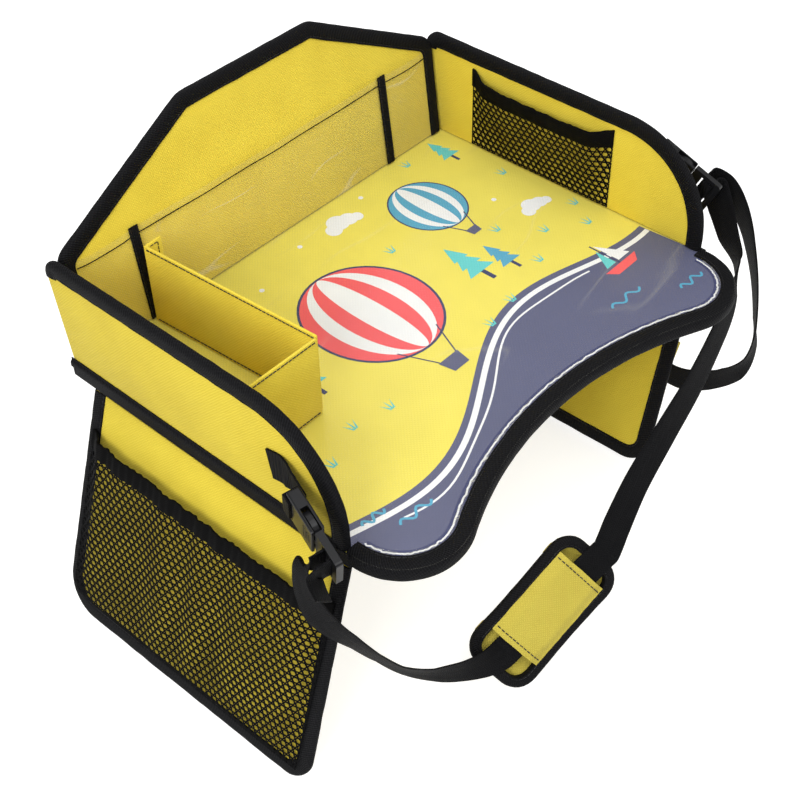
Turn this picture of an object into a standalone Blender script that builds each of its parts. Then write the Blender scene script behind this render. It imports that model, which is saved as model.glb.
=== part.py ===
"""Car seat tray table: folding fabric tray with walls, side flaps, pockets and a padded strap.

Metres, +Z up. X runs across the tray, -Y is the child's side with the belly cut-out, and the
origin is on the underside of the tray board.
"""

import math

import bmesh
import bpy
from mathutils import Matrix, Vector

# Cloth, binding and fit
GAP = 0.0003
BINDING_T = 0.0010
BINDING_LEG = 0.0110
BINDING_SOFTEN = 0.0005
MITRE_LIMIT_SHARE = 0.5
SMOOTH_ANGLE = math.radians(40)
BEVEL_ANGLE = math.radians(50)
PANEL_T = 0.0050
FLAP_T = 0.0026
FILM_T = 0.0004

# Tray
INNER_HALF_WIDTH = 0.2000
REAR_CREASE_Y = 0.1500
BOARD_T = 0.0050
FOAM_T = 0.0051
PRINT_T = 0.0006
LOBE_RADIUS = 0.0485
LOBE_CENTRE_Y = -0.1215
BELLY_APEX_Y = -0.1338
ARC_STEPS = 10
TRAY_REAR_OVERHANG = 0.0080
BAND_T = 0.0014
BAND_BELOW = 0.0
BAND_BELOW_TOP = 0.0006

# Side walls
WALL_TOP = 0.0905
WALL_CURVE_Y = -0.0400
WALL_FRONT_Y = -0.1160
WALL_CURVE_POWER = 2.0
WALL_FRONT_STRAIGHT = 0.0110
WALL_REAR_Y = 0.1575
WALL_REAR_TOP_Y = 0.1680
WALL_REAR_RADIUS = 0.0120
WALL_AXIS_RAISE = 0.0012

# Rear wall
REAR_LEAN = math.radians(6.8)
REAR_SIDE_H = 0.0860
REAR_TOP_H = 0.1545
REAR_TOP_HALF = 0.0660
REAR_CORNER_RADIUS = 0.0180
REAR_SIDE_GAP = 0.0018
POCKET_LINE_H = 0.0740
STRIP_W = 0.0085
STRIP_T = 0.0010
STRIP_LEFT_INSET = 0.0670
STRIP_RIGHT_INSET = 0.0675
STRIP_LEFT_X = -INNER_HALF_WIDTH + STRIP_LEFT_INSET
STRIP_RIGHT_X = INNER_HALF_WIDTH - STRIP_RIGHT_INSET
STRIP_H = 0.0810

# Divider in the tray's left half
DIVIDER_T = 0.0022
DIVIDER_H = 0.0700
COMPARTMENT_REAR_W = 0.0665
COMPARTMENT_FRONT_W = 0.0775
DIVIDER_REAR_X = -INNER_HALF_WIDTH + COMPARTMENT_REAR_W
DIVIDER_FRONT_X = -INNER_HALF_WIDTH + COMPARTMENT_FRONT_W
DIVIDER_FRONT_Y = -0.0170
DIVIDER_FLANGE = 0.0150
DIVIDER_FLANGE_RAISE = 0.0240
DIVIDER_RETURN = 0.0110
VELCRO_T = 0.0010
VELCRO_H = 0.0420
VELCRO_W = 0.0180

# Hanging flaps
FLAP_AXIS_INSET = 0.0020
FLAP_AXIS_BELOW = 0.0034
HINGE_BEAD_R = 0.0012
HINGE_TAPE_T = 0.0010
FLAP_TOP_CLEAR = HINGE_BEAD_R + GAP
FLAP_REAR_Y = 0.1375
FLAP_FRONT_Y = -0.1175
FLAP_FRONT_LOW_Y = -0.1260
FLAP_REAR_DROP = 0.1950
FLAP_FRONT_DROP = 0.1900
FLAP_REAR_RADIUS = 0.0300
FLAP_FRONT_RADIUS = 0.0210
LEFT_SPLAY = math.radians(20.0)
RIGHT_SPLAY = math.radians(-17.4)
NET_TOP_DROP = 0.0470
NET_SIDE_MARGIN = 0.0060
NET_BOTTOM_MARGIN = 0.0085
NET_GAPE = 0.0110
NET_T = 0.0012
NET_STRAND = 0.0026
LEFT_NET_COLUMNS = 16
LEFT_NET_ROWS = 9
ELASTIC_H = 0.0120
ELASTIC_T = 0.0022
GUSSET_TOP_DROP = 0.0800
GUSSET_GAPE = 0.0200
GUSSET_T = 0.0016
GUSSET_HALF_LENGTH = 0.1250
GUSSET_BOTTOM_DROP = 0.1660

# Net pocket on the inner face of the right wall
WALL_NET_REAR_Y = 0.1150
WALL_NET_FRONT_Y = -0.0290
WALL_NET_TOP = 0.0780
WALL_NET_COLUMNS = 9
WALL_NET_ROWS = 4
WALL_NET_GAPE = 0.0120
WALL_ELASTIC_H = 0.0130

# Webbing and side-release buckles
WEB_W = 0.0250
WEB_T = 0.0014
BUCKLE_W = 0.0330
BUCKLE_T = 0.0096
SOCKET_L = 0.0320
PLUG_START = 0.0326
PLUG_L = 0.0254
CAVITY_H = 0.0056
CAVITY_START = 0.0140
POCKET_START = 0.0110
POCKET_W = 0.0220
BAR_SLOT_START = 0.0034
BAR_SLOT_L = 0.0042
SLOT_W = 0.0268
LADDER_T = 0.0050
LADDER_SLOT_L = 0.0042
LADDER_SLOT_STARTS = (0.0408, 0.0488)
TONGUE_W = 0.0060
TONGUE_T = 0.0036
TONGUE_START = 0.0150
PRONG_T = 0.0046
PRONG_START = 0.0156
PRONG_BULGE = 0.0162
PRONG_ROOT = 0.0128
PRONG_W = 0.0042
PRONG_BOW_POWER = 0.8
PRONG_TAPER_SHARE = 0.33
BUCKLE_BEVEL = 0.0012
WRAP_DEPTH = 0.0082
HOOK_REACH = 0.0060

LEFT_BUCKLE_POINT = (-0.2169, -0.0842, 0.0485)
LEFT_BUCKLE_AXIS = (-0.2455, -0.9165, -0.3142)
LEFT_BUCKLE_WIDTH = (-0.2045, -0.2680, 0.9420)
RIGHT_BUCKLE_POINT = (0.2168, -0.0569, 0.0693)
RIGHT_BUCKLE_AXIS = (0.1000, -0.9000, -0.4200)
RIGHT_BUCKLE_WIDTH = (0.1000, -0.3300, 0.9300)
TAB_RISE = 0.0024
TAB_LENGTH = 0.0330
TAB_NEAR_SHARE = 0.33
TAB_FLAT_SHARE = 0.50
TAB_FLAT_RISE_SHARE = 0.80

# Shoulder pad
PAD_CENTRE = (-0.0721, -0.1824, -0.1280)
PAD_ALONG = (0.8449, -0.1443, 0.5151)
PAD_FACE = (-0.4330, -0.7500, 0.5000)
PAD_L = 0.1160
PAD_W = 0.0620
PAD_RADIUS = 0.0180
PAD_CROWN = 0.0060
PAD_TOP_SHARE = 0.32
PAD_SHOULDER_SHARES = (0.18, 0.86)
PAD_FOOT_SHARE = 0.35
PAD_EDGE_T = 0.0040
PAD_WAIST = 0.0016
PAD_BINDING_LEG = 0.0070
SLEEVE_MIDDLE = 0.0045
SLEEVE_L = 0.0750
SLEEVE_W = 0.0430
SLEEVE_T = 0.0009
WEB_RUN_BACK = -0.0370
WEB_RUN_AHEAD = 0.0610
WEB_GUIDE = 0.0040
WEB_SLANT = 0.0780

# Strap route from the left buckle through the pad to the right one: hand-placed points, each
# with the direction of the webbing's width
LEFT_ROUTE = (
    ((-0.2464, -0.1171, 0.0301), (-0.31, -0.75, 0.59)),
    ((-0.2505, -0.1155, 0.0228), (-0.30, -0.95, -0.01)),
    ((-0.2490, -0.1180, 0.0100), (-0.20, -0.98, 0.05)),
    ((-0.2440, -0.1222, -0.0046), (-0.06, -0.93, 0.36)),
    ((-0.2380, -0.1327, -0.0213), (0.11, -0.87, 0.48)),
    ((-0.2270, -0.1397, -0.0404), (0.21, -0.92, 0.34)),
    ((-0.2100, -0.1440, -0.0698), (0.09, -0.97, 0.22)),
    ((-0.1920, -0.1488, -0.0962), (-0.07, -0.99, 0.13)),
    ((-0.1740, -0.1530, -0.1189), (0.13, -0.93, 0.36)),
    ((-0.1551, -0.1632, -0.1351), (0.11, -0.57, 0.82)),
    ((-0.1415, -0.1677, -0.1421), (0.09, -0.22, 0.97)),
    ((-0.1300, -0.1719, -0.1443), (0.01, 0.18, 0.98)),
    ((-0.1192, -0.1741, -0.1454), (-0.08, 0.44, 0.89)),
)
RIGHT_ROUTE = (
    ((-0.0034, -0.1962, -0.0892), (-0.30, 0.62, 0.72)),
    ((0.0200, -0.1838, -0.0716), (-0.44, 0.39, 0.81)),
    ((0.0640, -0.1777, -0.0514), (-0.38, 0.32, 0.87)),
    ((0.1180, -0.1705, -0.0336), (-0.31, 0.21, 0.93)),
    ((0.1720, -0.1587, -0.0194), (-0.26, 0.15, 0.96)),
    ((0.2130, -0.1479, -0.0167), (-0.21, -0.05, 0.98)),
    ((0.2310, -0.1367, -0.0069), (-0.38, -0.27, 0.89)),
    ((0.2335, -0.1242, 0.0099), (-0.09, -0.72, 0.69)),
    ((0.2390, -0.1130, 0.0290), (0.08, -0.66, 0.75)),
    ((0.2384, -0.1022, 0.0456), (0.11, -0.41, 0.91)),
)
LEFT_END_ROUTE = (
    ((-0.2458, -0.1262, 0.0281), (-0.29, -0.63, 0.72)),
    ((-0.2475, -0.1260, 0.0209), (-0.31, -0.93, 0.20)),
    ((-0.2439, -0.1273, 0.0107), (-0.28, -0.95, -0.11)),
    ((-0.2379, -0.1278, -0.0003), (-0.27, -0.95, -0.18)),
)
RIGHT_TAIL_ROUTE = (
    ((0.2425, -0.0941, 0.0493), (0.11, -0.41, 0.91)),
    ((0.2507, -0.1039, 0.0450), (0.11, -0.41, 0.91)),
    ((0.2533, -0.1151, 0.0363), (0.12, -0.53, 0.84)),
    ((0.2500, -0.1280, 0.0220), (-0.05, -0.70, 0.71)),
    ((0.2460, -0.1402, 0.0014), (-0.18, -0.89, 0.41)),
    ((0.2420, -0.1514, -0.0278), (-0.31, -0.91, 0.27)),
    ((0.2370, -0.1603, -0.0648), (-0.65, -0.74, 0.19)),
    ((0.2300, -0.1639, -0.0926), (-0.97, -0.17, 0.16)),
    ((0.2220, -0.1551, -0.1142), (-0.68, 0.48, 0.56)),
    ((0.2170, -0.1331, -0.1312), (-0.26, 0.44, 0.86)),
    ((0.2140, -0.1125, -0.1382), (-0.06, 0.15, 0.99)),
    ((0.2130, -0.0923, -0.1379), (-0.04, -0.03, 1.00)),
)
LEFT_LEAD_POINTS = 5
RIGHT_LEAD_POINTS = 4
ROUTE_STEPS = 4

# Derived heights and edges
TRAY_TOP = BOARD_T + FOAM_T + PRINT_T + FILM_T + 3 * GAP
WALL_OUTER_X = INNER_HALF_WIDTH + PANEL_T
TRAY_EDGE_X = WALL_OUTER_X
TRAY_REAR_Y = REAR_CREASE_Y + TRAY_REAR_OVERHANG
BINDING_OFFSET = GAP + BINDING_T
WALL_BASE_Z = TRAY_TOP + GAP
REAR_AXIS_Y = REAR_CREASE_Y + PANEL_T + BINDING_OFFSET


# Materials

def material(name, colour, roughness, metallic=0.0, alpha=1.0):
    """One Principled material."""
    made = bpy.data.materials.new(name)
    made.use_nodes = True
    shader = made.node_tree.nodes["Principled BSDF"]
    shader.inputs["Base Color"].default_value = (*colour, 1.0)
    shader.inputs["Roughness"].default_value = roughness
    shader.inputs["Metallic"].default_value = metallic
    shader.inputs["Alpha"].default_value = alpha
    made.diffuse_color = (*colour, alpha)
    return made


def make_materials():
    """The finishes of the whole tray."""
    return {
        "fabric": material("yellow_fabric", (0.83, 0.68, 0.10), 0.80),
        "binding": material("black_binding", (0.012, 0.012, 0.013), 0.85),
        "webbing": material("black_webbing", (0.010, 0.010, 0.011), 0.75),
        "net": material("black_net", (0.010, 0.010, 0.010), 0.80),
        "print": material("printed_cloth", (0.85, 0.76, 0.16), 0.55),
        "film": material("clear_film", (0.90, 0.90, 0.88), 0.10, alpha=0.25),
        "plastic": material("black_plastic", (0.020, 0.020, 0.022), 0.35),
        "board": material("board", (0.70, 0.58, 0.12), 0.85),
        "foam": material("white_foam", (0.80, 0.80, 0.78), 0.90),
    }


# Meshes and frames

def clear_scene():
    """Empty the scene of its objects."""
    for item in list(bpy.data.objects):
        bpy.data.objects.remove(item, do_unlink=True)


def frame(point, along, across):
    """A frame at point with X along, Y near across and Z square to both."""
    x_axis = Vector(along).normalized()
    y_axis = Vector(across)
    y_axis = (y_axis - x_axis * y_axis.dot(x_axis)).normalized()
    z_axis = x_axis.cross(y_axis)
    turned = Matrix((x_axis, y_axis, z_axis)).transposed().to_4x4()
    return Matrix.Translation(Vector(point)) @ turned


def make_object(name, bm, finish, place=None, smooth=False):
    """Turn a bmesh, in the frame place, into a named object with outward faces."""
    bmesh.ops.recalc_face_normals(bm, faces=bm.faces)
    if bm.calc_volume(signed=True) < 0:
        bmesh.ops.reverse_faces(bm, faces=bm.faces)
    mesh = bpy.data.meshes.new(name)
    bm.to_mesh(mesh)
    bm.free()
    mesh.materials.append(finish)
    if smooth:
        mesh.shade_smooth()
        mesh.set_sharp_from_angle(angle=SMOOTH_ANGLE)
    made = bpy.data.objects.new(name, mesh)
    bpy.context.scene.collection.objects.link(made)
    if place is not None:
        made.matrix_world = place
    return made


def prism(outline, low, high):
    """A plate: a 2-D outline pushed from low to high along local Z."""
    bm = bmesh.new()
    corners = [bm.verts.new((x, y, low)) for x, y in outline]
    face = bm.faces.new(corners)
    grown = bmesh.ops.extrude_face_region(bm, geom=[face], use_keep_orig=True)
    top = [item for item in grown["geom"] if isinstance(item, bmesh.types.BMVert)]
    bmesh.ops.translate(bm, vec=(0, 0, high - low), verts=top)
    return bm


def loft(rings, closed=False):
    """Skin a row of rings of points with equal counts, capped at both ends unless closed."""
    bm = bmesh.new()
    rows = [[bm.verts.new(point) for point in ring] for ring in rings]
    count = len(rows[0])
    pairs = list(zip(rows, rows[1:]))
    if closed:
        pairs.append((rows[-1], rows[0]))
    for near, far in pairs:
        for i in range(count):
            j = (i + 1) % count
            bm.faces.new((near[i], near[j], far[j], far[i]))
    if not closed:
        bm.faces.new(rows[0])
        bm.faces.new(reversed(rows[-1]))
    return bm


def box(size_x, size_y, size_z, centre):
    """A box of the given size about its centre."""
    bm = bmesh.new()
    scale = Matrix.Diagonal((size_x, size_y, size_z, 1))
    bmesh.ops.create_cube(bm, size=1, matrix=Matrix.Translation(Vector(centre)) @ scale)
    return bm


def fillet(corners, radii, steps=5):
    """Round the corners of a 2-D outline: each corner gets an arc of its own radius."""
    rounded = []
    count = len(corners)
    for i, corner in enumerate(corners):
        here = Vector(corner)
        before = (Vector(corners[i - 1]) - here)
        after = (Vector(corners[(i + 1) % count]) - here)
        radius = radii[i]
        if radius <= 0:
            rounded.append(tuple(here))
            continue
        before.normalize()
        after.normalize()
        half = before.angle(after) / 2
        centre = here + (before + after).normalized() * (radius / math.sin(half))
        start = here + before * (radius / math.tan(half)) - centre
        end = here + after * (radius / math.tan(half)) - centre
        turn = math.atan2(start.x * end.y - start.y * end.x, start.dot(end))
        for k in range(steps + 1):
            spot = centre + Matrix.Rotation(turn * k / steps, 2) @ start
            rounded.append(tuple(spot))
    return rounded


def outward_normals(path, closed):
    """Mitred unit normals on the right-hand side of a 2-D path."""
    normals = []
    count = len(path)
    for i in range(count):
        before = Vector(path[i]) - Vector(path[i - 1])
        after = Vector(path[(i + 1) % count]) - Vector(path[i])
        if not closed and i == 0:
            before = after
        if not closed and i == count - 1:
            after = before
        one = Vector((before.y, -before.x)).normalized()
        two = Vector((after.y, -after.x)).normalized()
        middle = (one + two).normalized()
        normals.append(middle / max(middle.dot(one), MITRE_LIMIT_SHARE))
    return normals


def binding(path, low, high, closed=False, leg=BINDING_LEG):
    """Folded tape round a panel's edge: a U-shaped channel along a path, outside to its right."""
    out = GAP + BINDING_T
    soft = BINDING_SOFTEN
    under = low - GAP
    over = high + GAP
    section = (
        (-leg, under - BINDING_T),
        (out - soft, under - BINDING_T),
        (out, under - BINDING_T + soft),
        (out, over + BINDING_T - soft),
        (out - soft, over + BINDING_T),
        (-leg, over + BINDING_T),
        (-leg, over),
        (GAP, over),
        (GAP, under),
        (-leg, under),
    )
    rings = []
    for spot, normal in zip(path, outward_normals(path, closed)):
        ring = []
        for across, level in section:
            edge = Vector(spot) + normal * across
            ring.append((edge.x, edge.y, level))
        rings.append(ring)
    return loft(rings, closed)


def smooth_route(route, steps):
    """Read a smooth curve through the route's points and width directions."""
    places = [Vector(point) for point, width in route]
    widths = [Vector(width).normalized() for point, width in route]
    last = len(route) - 1
    samples = []
    for i in range(last):
        for k in range(steps):
            samples.append(_between(places, widths, i, k / steps))
    samples.append((places[last], widths[last], _heading(places, last)))
    return samples


def _heading(places, i):
    """Direction of a route at one of its points."""
    ahead = places[min(i + 1, len(places) - 1)]
    behind = places[max(i - 1, 0)]
    return (ahead - behind).normalized()


def _between(places, widths, i, t):
    """One point of a smooth curve through the places, its width direction and its heading."""
    start = places[i]
    end = places[i + 1]
    span = (end - start).length
    swing = 3 * t ** 2 - 2 * t ** 3
    leave = _heading(places, i) * span
    arrive = _heading(places, i + 1) * span
    spot = start.lerp(end, swing) + leave * (t ** 3 - 2 * t ** 2 + t) + arrive * (t ** 3 - t ** 2)
    along = (end - start) * (6 * t - 6 * t ** 2)
    along += leave * (3 * t ** 2 - 4 * t + 1) + arrive * (3 * t ** 2 - 2 * t)
    return spot, widths[i].lerp(widths[i + 1], t).normalized(), along.normalized()


def ribbon_pieces(route, steps, splits=()):
    """Webbing along a route, parted by a small gap at the route points in splits."""
    samples = smooth_route(route, steps)
    last = len(samples) - 1
    stops = [0] + [point * steps for point in splits] + [last]
    pieces = []
    for start, stop in zip(stops, stops[1:]):
        rings = []
        for i in range(start, stop + 1):
            shift = 0
            if i == start and i > 0:
                shift = GAP / 2
            if i == stop and i < last:
                shift = -GAP / 2
            rings.append(_ribbon_ring(samples, i, shift))
        pieces.append(loft(rings))
    return pieces


def _ribbon_ring(samples, i, shift):
    """The webbing's cross-section at one sample, moved along the webbing by shift."""
    spot, width, along = samples[i]
    side = (width - along * width.dot(along)).normalized()
    face = along.cross(side)
    centre = spot + along * shift
    ring = []
    for across, level in ((-1, -1), (1, -1), (1, 1), (-1, 1)):
        ring.append(centre + side * (across * WEB_W / 2) + face * (level * WEB_T / 2))
    return ring


def net_sheet(length, height, columns, rows, strand, thick):
    """A flat net centred on local X, hanging down from local Y zero, one closed body."""
    bm = bmesh.new()
    scale = Matrix.Diagonal((length / 2, height / 2, 1, 1))
    drop = Matrix.Translation((0, -height / 2, 0))
    bmesh.ops.create_grid(bm, x_segments=columns, y_segments=rows, size=1, matrix=drop @ scale)
    cells = list(bm.faces)
    bmesh.ops.inset_individual(bm, faces=cells, thickness=strand / 2)
    bmesh.ops.delete(bm, geom=cells, context="FACES")
    sheet = list(bm.faces)
    grown = bmesh.ops.extrude_face_region(bm, geom=sheet, use_keep_orig=True)
    top = [item for item in grown["geom"] if isinstance(item, bmesh.types.BMVert)]
    bmesh.ops.translate(bm, vec=(0, 0, thick), verts=top)
    bmesh.ops.translate(bm, vec=(0, 0, -thick / 2), verts=bm.verts)
    return bm


def cut(body, name, cutter_bm):
    """Take a cutter's shape out of a body with an exact Boolean."""
    cutter = make_object(name, cutter_bm, body.data.materials[0], body.matrix_world.copy())
    cutter.hide_render = True
    cutter.display_type = "WIRE"
    taken = body.modifiers.new(name, "BOOLEAN")
    taken.operation = "DIFFERENCE"
    taken.object = cutter
    return cutter


def soften(body, width, segments=2):
    """Round a body's edges with a small bevel."""
    edge = body.modifiers.new("Soft edges", "BEVEL")
    edge.width = width
    edge.segments = segments
    edge.limit_method = "ANGLE"
    edge.angle_limit = BEVEL_ANGLE


# Tray

def belly_radius():
    """Radius of the belly arc that meets both lobes without a corner."""
    lobe_x = TRAY_EDGE_X - LOBE_RADIUS
    rise = LOBE_CENTRE_Y - BELLY_APEX_Y
    return (lobe_x ** 2 + rise ** 2 - LOBE_RADIUS ** 2) / (2 * (LOBE_RADIUS - rise))


def front_edge():
    """The tray's front cut edge from left to right: lobe, belly arc, lobe."""
    lobe = Vector((TRAY_EDGE_X - LOBE_RADIUS, LOBE_CENTRE_Y))
    radius = belly_radius()
    centre = Vector((0, BELLY_APEX_Y - radius))
    meet = math.atan2(centre.y - lobe.y, centre.x - lobe.x)
    right = []
    for k in range(ARC_STEPS + 1):
        angle = (meet + 2 * math.pi) * k / ARC_STEPS if meet > 0 else meet * k / ARC_STEPS
        right.append((lobe.x + LOBE_RADIUS * math.cos(angle), lobe.y + LOBE_RADIUS * math.sin(angle)))
    start = math.atan2(lobe.y - centre.y, lobe.x - centre.x)
    for k in range(1, ARC_STEPS + 1):
        angle = start + (math.pi / 2 - start) * k / ARC_STEPS
        right.append((radius * math.cos(angle), centre.y + radius * math.sin(angle)))
    left = [(-x, y) for x, y in right[:-1]]
    return left + right[::-1]


def tray_outline():
    """The cut edge of the tray's layers, counter-clockwise from above."""
    rear = [(TRAY_EDGE_X, TRAY_REAR_Y), (-TRAY_EDGE_X, TRAY_REAR_Y)]
    return front_edge() + rear


def make_tray(finish):
    """Board, foam, printed sheet and clear film, with tape round the front edge."""
    outline = tray_outline()
    make_object("tray_board", prism(outline, 0, BOARD_T), finish["board"])
    low = BOARD_T + GAP
    make_object("tray_foam", prism(outline, low, low + FOAM_T), finish["foam"])
    low += FOAM_T + GAP
    make_object("printed_sheet", prism(outline, low, low + PRINT_T), finish["print"])
    low += PRINT_T + GAP
    make_object("clear_cover_film", prism(outline, low, low + FILM_T), finish["film"])
    edge = [spot for spot in front_edge() if spot[1] <= LOBE_CENTRE_Y + GAP]
    tape = binding(edge, 0, TRAY_TOP)
    make_object("front_binding", tape, finish["binding"], smooth=True)


def make_bands(finish):
    """Flat tape that covers the seams under the two side walls and the rear wall."""
    low = -BAND_BELOW
    high = TRAY_TOP - BAND_BELOW_TOP
    inner = TRAY_EDGE_X + GAP
    length = TRAY_REAR_Y - LOBE_CENTRE_Y
    middle = (TRAY_REAR_Y + LOBE_CENTRE_Y) / 2 + BINDING_T
    for name, side in (("left_seam_band", -1), ("right_seam_band", 1)):
        spot = (side * (inner + BAND_T / 2), middle, (low + high) / 2)
        strip = make_object(name, box(BAND_T, length, high - low, spot), finish["binding"])
        soften(strip, BINDING_SOFTEN)
    spot = (0, TRAY_REAR_Y + GAP + BAND_T / 2, (low + high) / 2)
    strip = box(2 * TRAY_EDGE_X, BAND_T, high - low, spot)
    soften(make_object("rear_seam_band", strip, finish["binding"]), BINDING_SOFTEN)


# Side walls

def wall_edge():
    """A side wall's taped edge in (Y, Z), from the front foot over the top to the rear corner."""
    span = WALL_CURVE_Y - WALL_FRONT_Y
    straight = WALL_FRONT_STRAIGHT
    rise = WALL_TOP - straight
    points = [(WALL_FRONT_Y, WALL_BASE_Z), (WALL_FRONT_Y, WALL_BASE_Z + straight)]
    for k in range(1, ARC_STEPS + 1):
        angle = math.pi / 2 * k / ARC_STEPS
        across = math.cos(angle) ** (2 / WALL_CURVE_POWER)
        up = math.sin(angle) ** (2 / WALL_CURVE_POWER)
        points.append((WALL_CURVE_Y - span * across, WALL_BASE_Z + straight + rise * up))
    top = WALL_BASE_Z + WALL_TOP
    corner = fillet(
        ((WALL_CURVE_Y, top), (WALL_REAR_TOP_Y, top), (WALL_REAR_Y, WALL_BASE_Z)),
        (0, WALL_REAR_RADIUS, 0),
    )
    return points + corner[1:-1]


def make_side_wall(finish, name, side):
    """A stiffened side wall with tape over its top and front edge."""
    pivot = Vector((side * (WALL_OUTER_X + GAP + BAND_T), 0, WALL_BASE_Z + WALL_AXIS_RAISE))
    centre_x = side * (INNER_HALF_WIDTH + PANEL_T / 2)
    place = Matrix.Translation(pivot) @ _side_turn()
    edge = wall_edge()
    outline = edge + [(WALL_REAR_Y, WALL_BASE_Z)]
    shift = Vector((0, -pivot.z, centre_x - pivot.x))
    panel = prism(outline, -PANEL_T / 2, PANEL_T / 2)
    bmesh.ops.translate(panel, vec=shift, verts=panel.verts)
    made = make_object(f"{name}_wall_panel", panel, finish["fabric"], place)
    tape = binding(edge[::-1], -PANEL_T / 2, PANEL_T / 2)
    bmesh.ops.translate(tape, vec=shift, verts=tape.verts)
    make_object(f"{name}_wall_binding", tape, finish["binding"], place, smooth=True)
    return made


def _side_turn():
    """Turns local X to world Y, local Y to world Z and local Z to world X."""
    return Matrix(((0, 0, 1), (1, 0, 0), (0, 1, 0))).to_4x4()


def make_wall_pocket(finish):
    """Net pocket with an elastic top on the right wall's inner face."""
    pivot_x = WALL_OUTER_X + GAP + BAND_T
    pivot_z = WALL_BASE_Z + WALL_AXIS_RAISE
    length = WALL_NET_REAR_Y - WALL_NET_FRONT_Y
    height = WALL_NET_TOP - WALL_BASE_Z - NET_T
    seat = NET_T / 2 + GAP
    lean = math.atan2(WALL_NET_GAPE, height)
    turn = Matrix.Rotation(-lean, 4, "X")
    middle = (WALL_NET_REAR_Y + WALL_NET_FRONT_Y) / 2
    foot = Vector((middle, WALL_BASE_Z + NET_T - pivot_z, INNER_HALF_WIDTH - pivot_x - seat))
    net = net_sheet(length, height, WALL_NET_COLUMNS, WALL_NET_ROWS, NET_STRAND, NET_T)
    bmesh.ops.translate(net, vec=(0, height, 0), verts=net.verts)
    tilt = Matrix.Translation(foot) @ turn
    bmesh.ops.transform(net, matrix=tilt, verts=net.verts)
    place = Matrix.Translation((pivot_x, 0, pivot_z)) @ _side_turn()
    make_object("right_wall_net", net, finish["net"], place)
    raised = height + GAP + WALL_ELASTIC_H / 2
    hem = box(length, WALL_ELASTIC_H, ELASTIC_T, (0, raised, 0))
    bmesh.ops.transform(hem, matrix=tilt, verts=hem.verts)
    soften(make_object("right_wall_elastic", hem, finish["binding"], place), BINDING_SOFTEN)


# Rear wall

def rear_place():
    """The rear wall's frame: X across, Y up the leaning wall, Z toward the tray."""
    pivot = Matrix.Translation((0, REAR_AXIS_Y, WALL_BASE_Z + GAP))
    return pivot @ Matrix.Rotation(math.pi / 2 - REAR_LEAN, 4, "X")


def rear_edge():
    """The rear wall's taped edge in its own plane, counter-clockwise from its right foot."""
    side_x = INNER_HALF_WIDTH - REAR_SIDE_GAP - BINDING_OFFSET
    corners = (
        (side_x, 0),
        (side_x, REAR_SIDE_H),
        (REAR_TOP_HALF, REAR_TOP_H),
        (-REAR_TOP_HALF, REAR_TOP_H),
        (-side_x, REAR_SIDE_H),
        (-side_x, 0),
    )
    round_off = REAR_CORNER_RADIUS
    return fillet(corners, (0, round_off, round_off, round_off, round_off, 0))


def make_rear_wall(finish):
    """Tall six-sided rear wall, its tape, the clear pocket and the two dividing strips."""
    place = rear_place()
    back = BINDING_OFFSET
    front = back + PANEL_T
    edge = rear_edge()
    make_object("rear_wall_panel", prism(edge, back, front), finish["fabric"], place)
    make_object("rear_wall_binding", binding(edge, back, front), finish["binding"], place, True)
    half = INNER_HALF_WIDTH - REAR_SIDE_GAP - BINDING_OFFSET - BINDING_LEG - GAP
    low = front + GAP
    film = box(2 * half, POCKET_LINE_H, FILM_T, (0, POCKET_LINE_H / 2, low + FILM_T / 2))
    make_object("rear_pocket_film", film, finish["film"], place)
    for name, spot in (("left", STRIP_LEFT_X), ("right", STRIP_RIGHT_X)):
        level = low + FILM_T + GAP + STRIP_T / 2
        strip = box(STRIP_W, STRIP_H, STRIP_T, (spot, STRIP_H / 2, level))
        made = make_object(f"rear_pocket_strip_{name}", strip, finish["binding"], place)
        soften(made, STRIP_T / 3, 1)


# Divider

def divider_line():
    """Foot of the divider's long wall: its front corner and its rear end."""
    rear_face = REAR_CREASE_Y - FILM_T - STRIP_T - 4 * GAP
    corner = Vector((DIVIDER_FRONT_X, DIVIDER_FRONT_Y, WALL_BASE_Z))
    return corner, Vector((DIVIDER_REAR_X, rear_face, WALL_BASE_Z))


def divider_fold_place():
    """Frame on the long wall's fold line, along its foot on the side it folds to."""
    corner, start = divider_line()
    place = frame(corner, start - corner, Vector((0, 0, 1)))
    return place @ Matrix.Translation((0, 0, DIVIDER_T / 2))


def make_divider(finish):
    """Long wall from the rear wall, and a short end wall that closes the compartment."""
    corner, start = divider_line()
    foot_z = WALL_BASE_Z
    length = (start - corner).length
    place = frame(corner, start - corner, Vector((0, 0, 1)))
    make_object("divider_long_wall", _long_wall(length), finish["fabric"], place)
    reach = INNER_HALF_WIDTH - VELCRO_T - 2 * GAP + corner.x
    across = frame(corner, Vector((-1, 0, 0)), Vector((0, 0, 1)))
    end = _end_wall(reach)
    make_object("divider_end_wall", end, finish["fabric"], across)
    patch_x = -INNER_HALF_WIDTH + GAP + VELCRO_T / 2
    patch_y = DIVIDER_FRONT_Y - VELCRO_W / 2
    centre = (patch_x, patch_y, foot_z + DIVIDER_H / 2)
    patch = box(VELCRO_T, VELCRO_W, VELCRO_H, centre)
    pivot = Vector((-(WALL_OUTER_X + GAP + BAND_T), 0, WALL_BASE_Z + WALL_AXIS_RAISE))
    bmesh.ops.translate(patch, vec=-pivot, verts=patch.verts)
    make_object("left_wall_velcro", patch, finish["binding"], Matrix.Translation(pivot))


def _long_wall(length):
    """The long wall on its foot, with a raised tab that lies along the rear wall."""
    half = DIVIDER_T / 2
    bm = prism(((half, 0), (length, 0), (length, DIVIDER_H), (half, DIVIDER_H)), -half, half)
    _raised_tab(bm, length - DIVIDER_T, half, half + DIVIDER_FLANGE - DIVIDER_T)
    return bm


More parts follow.
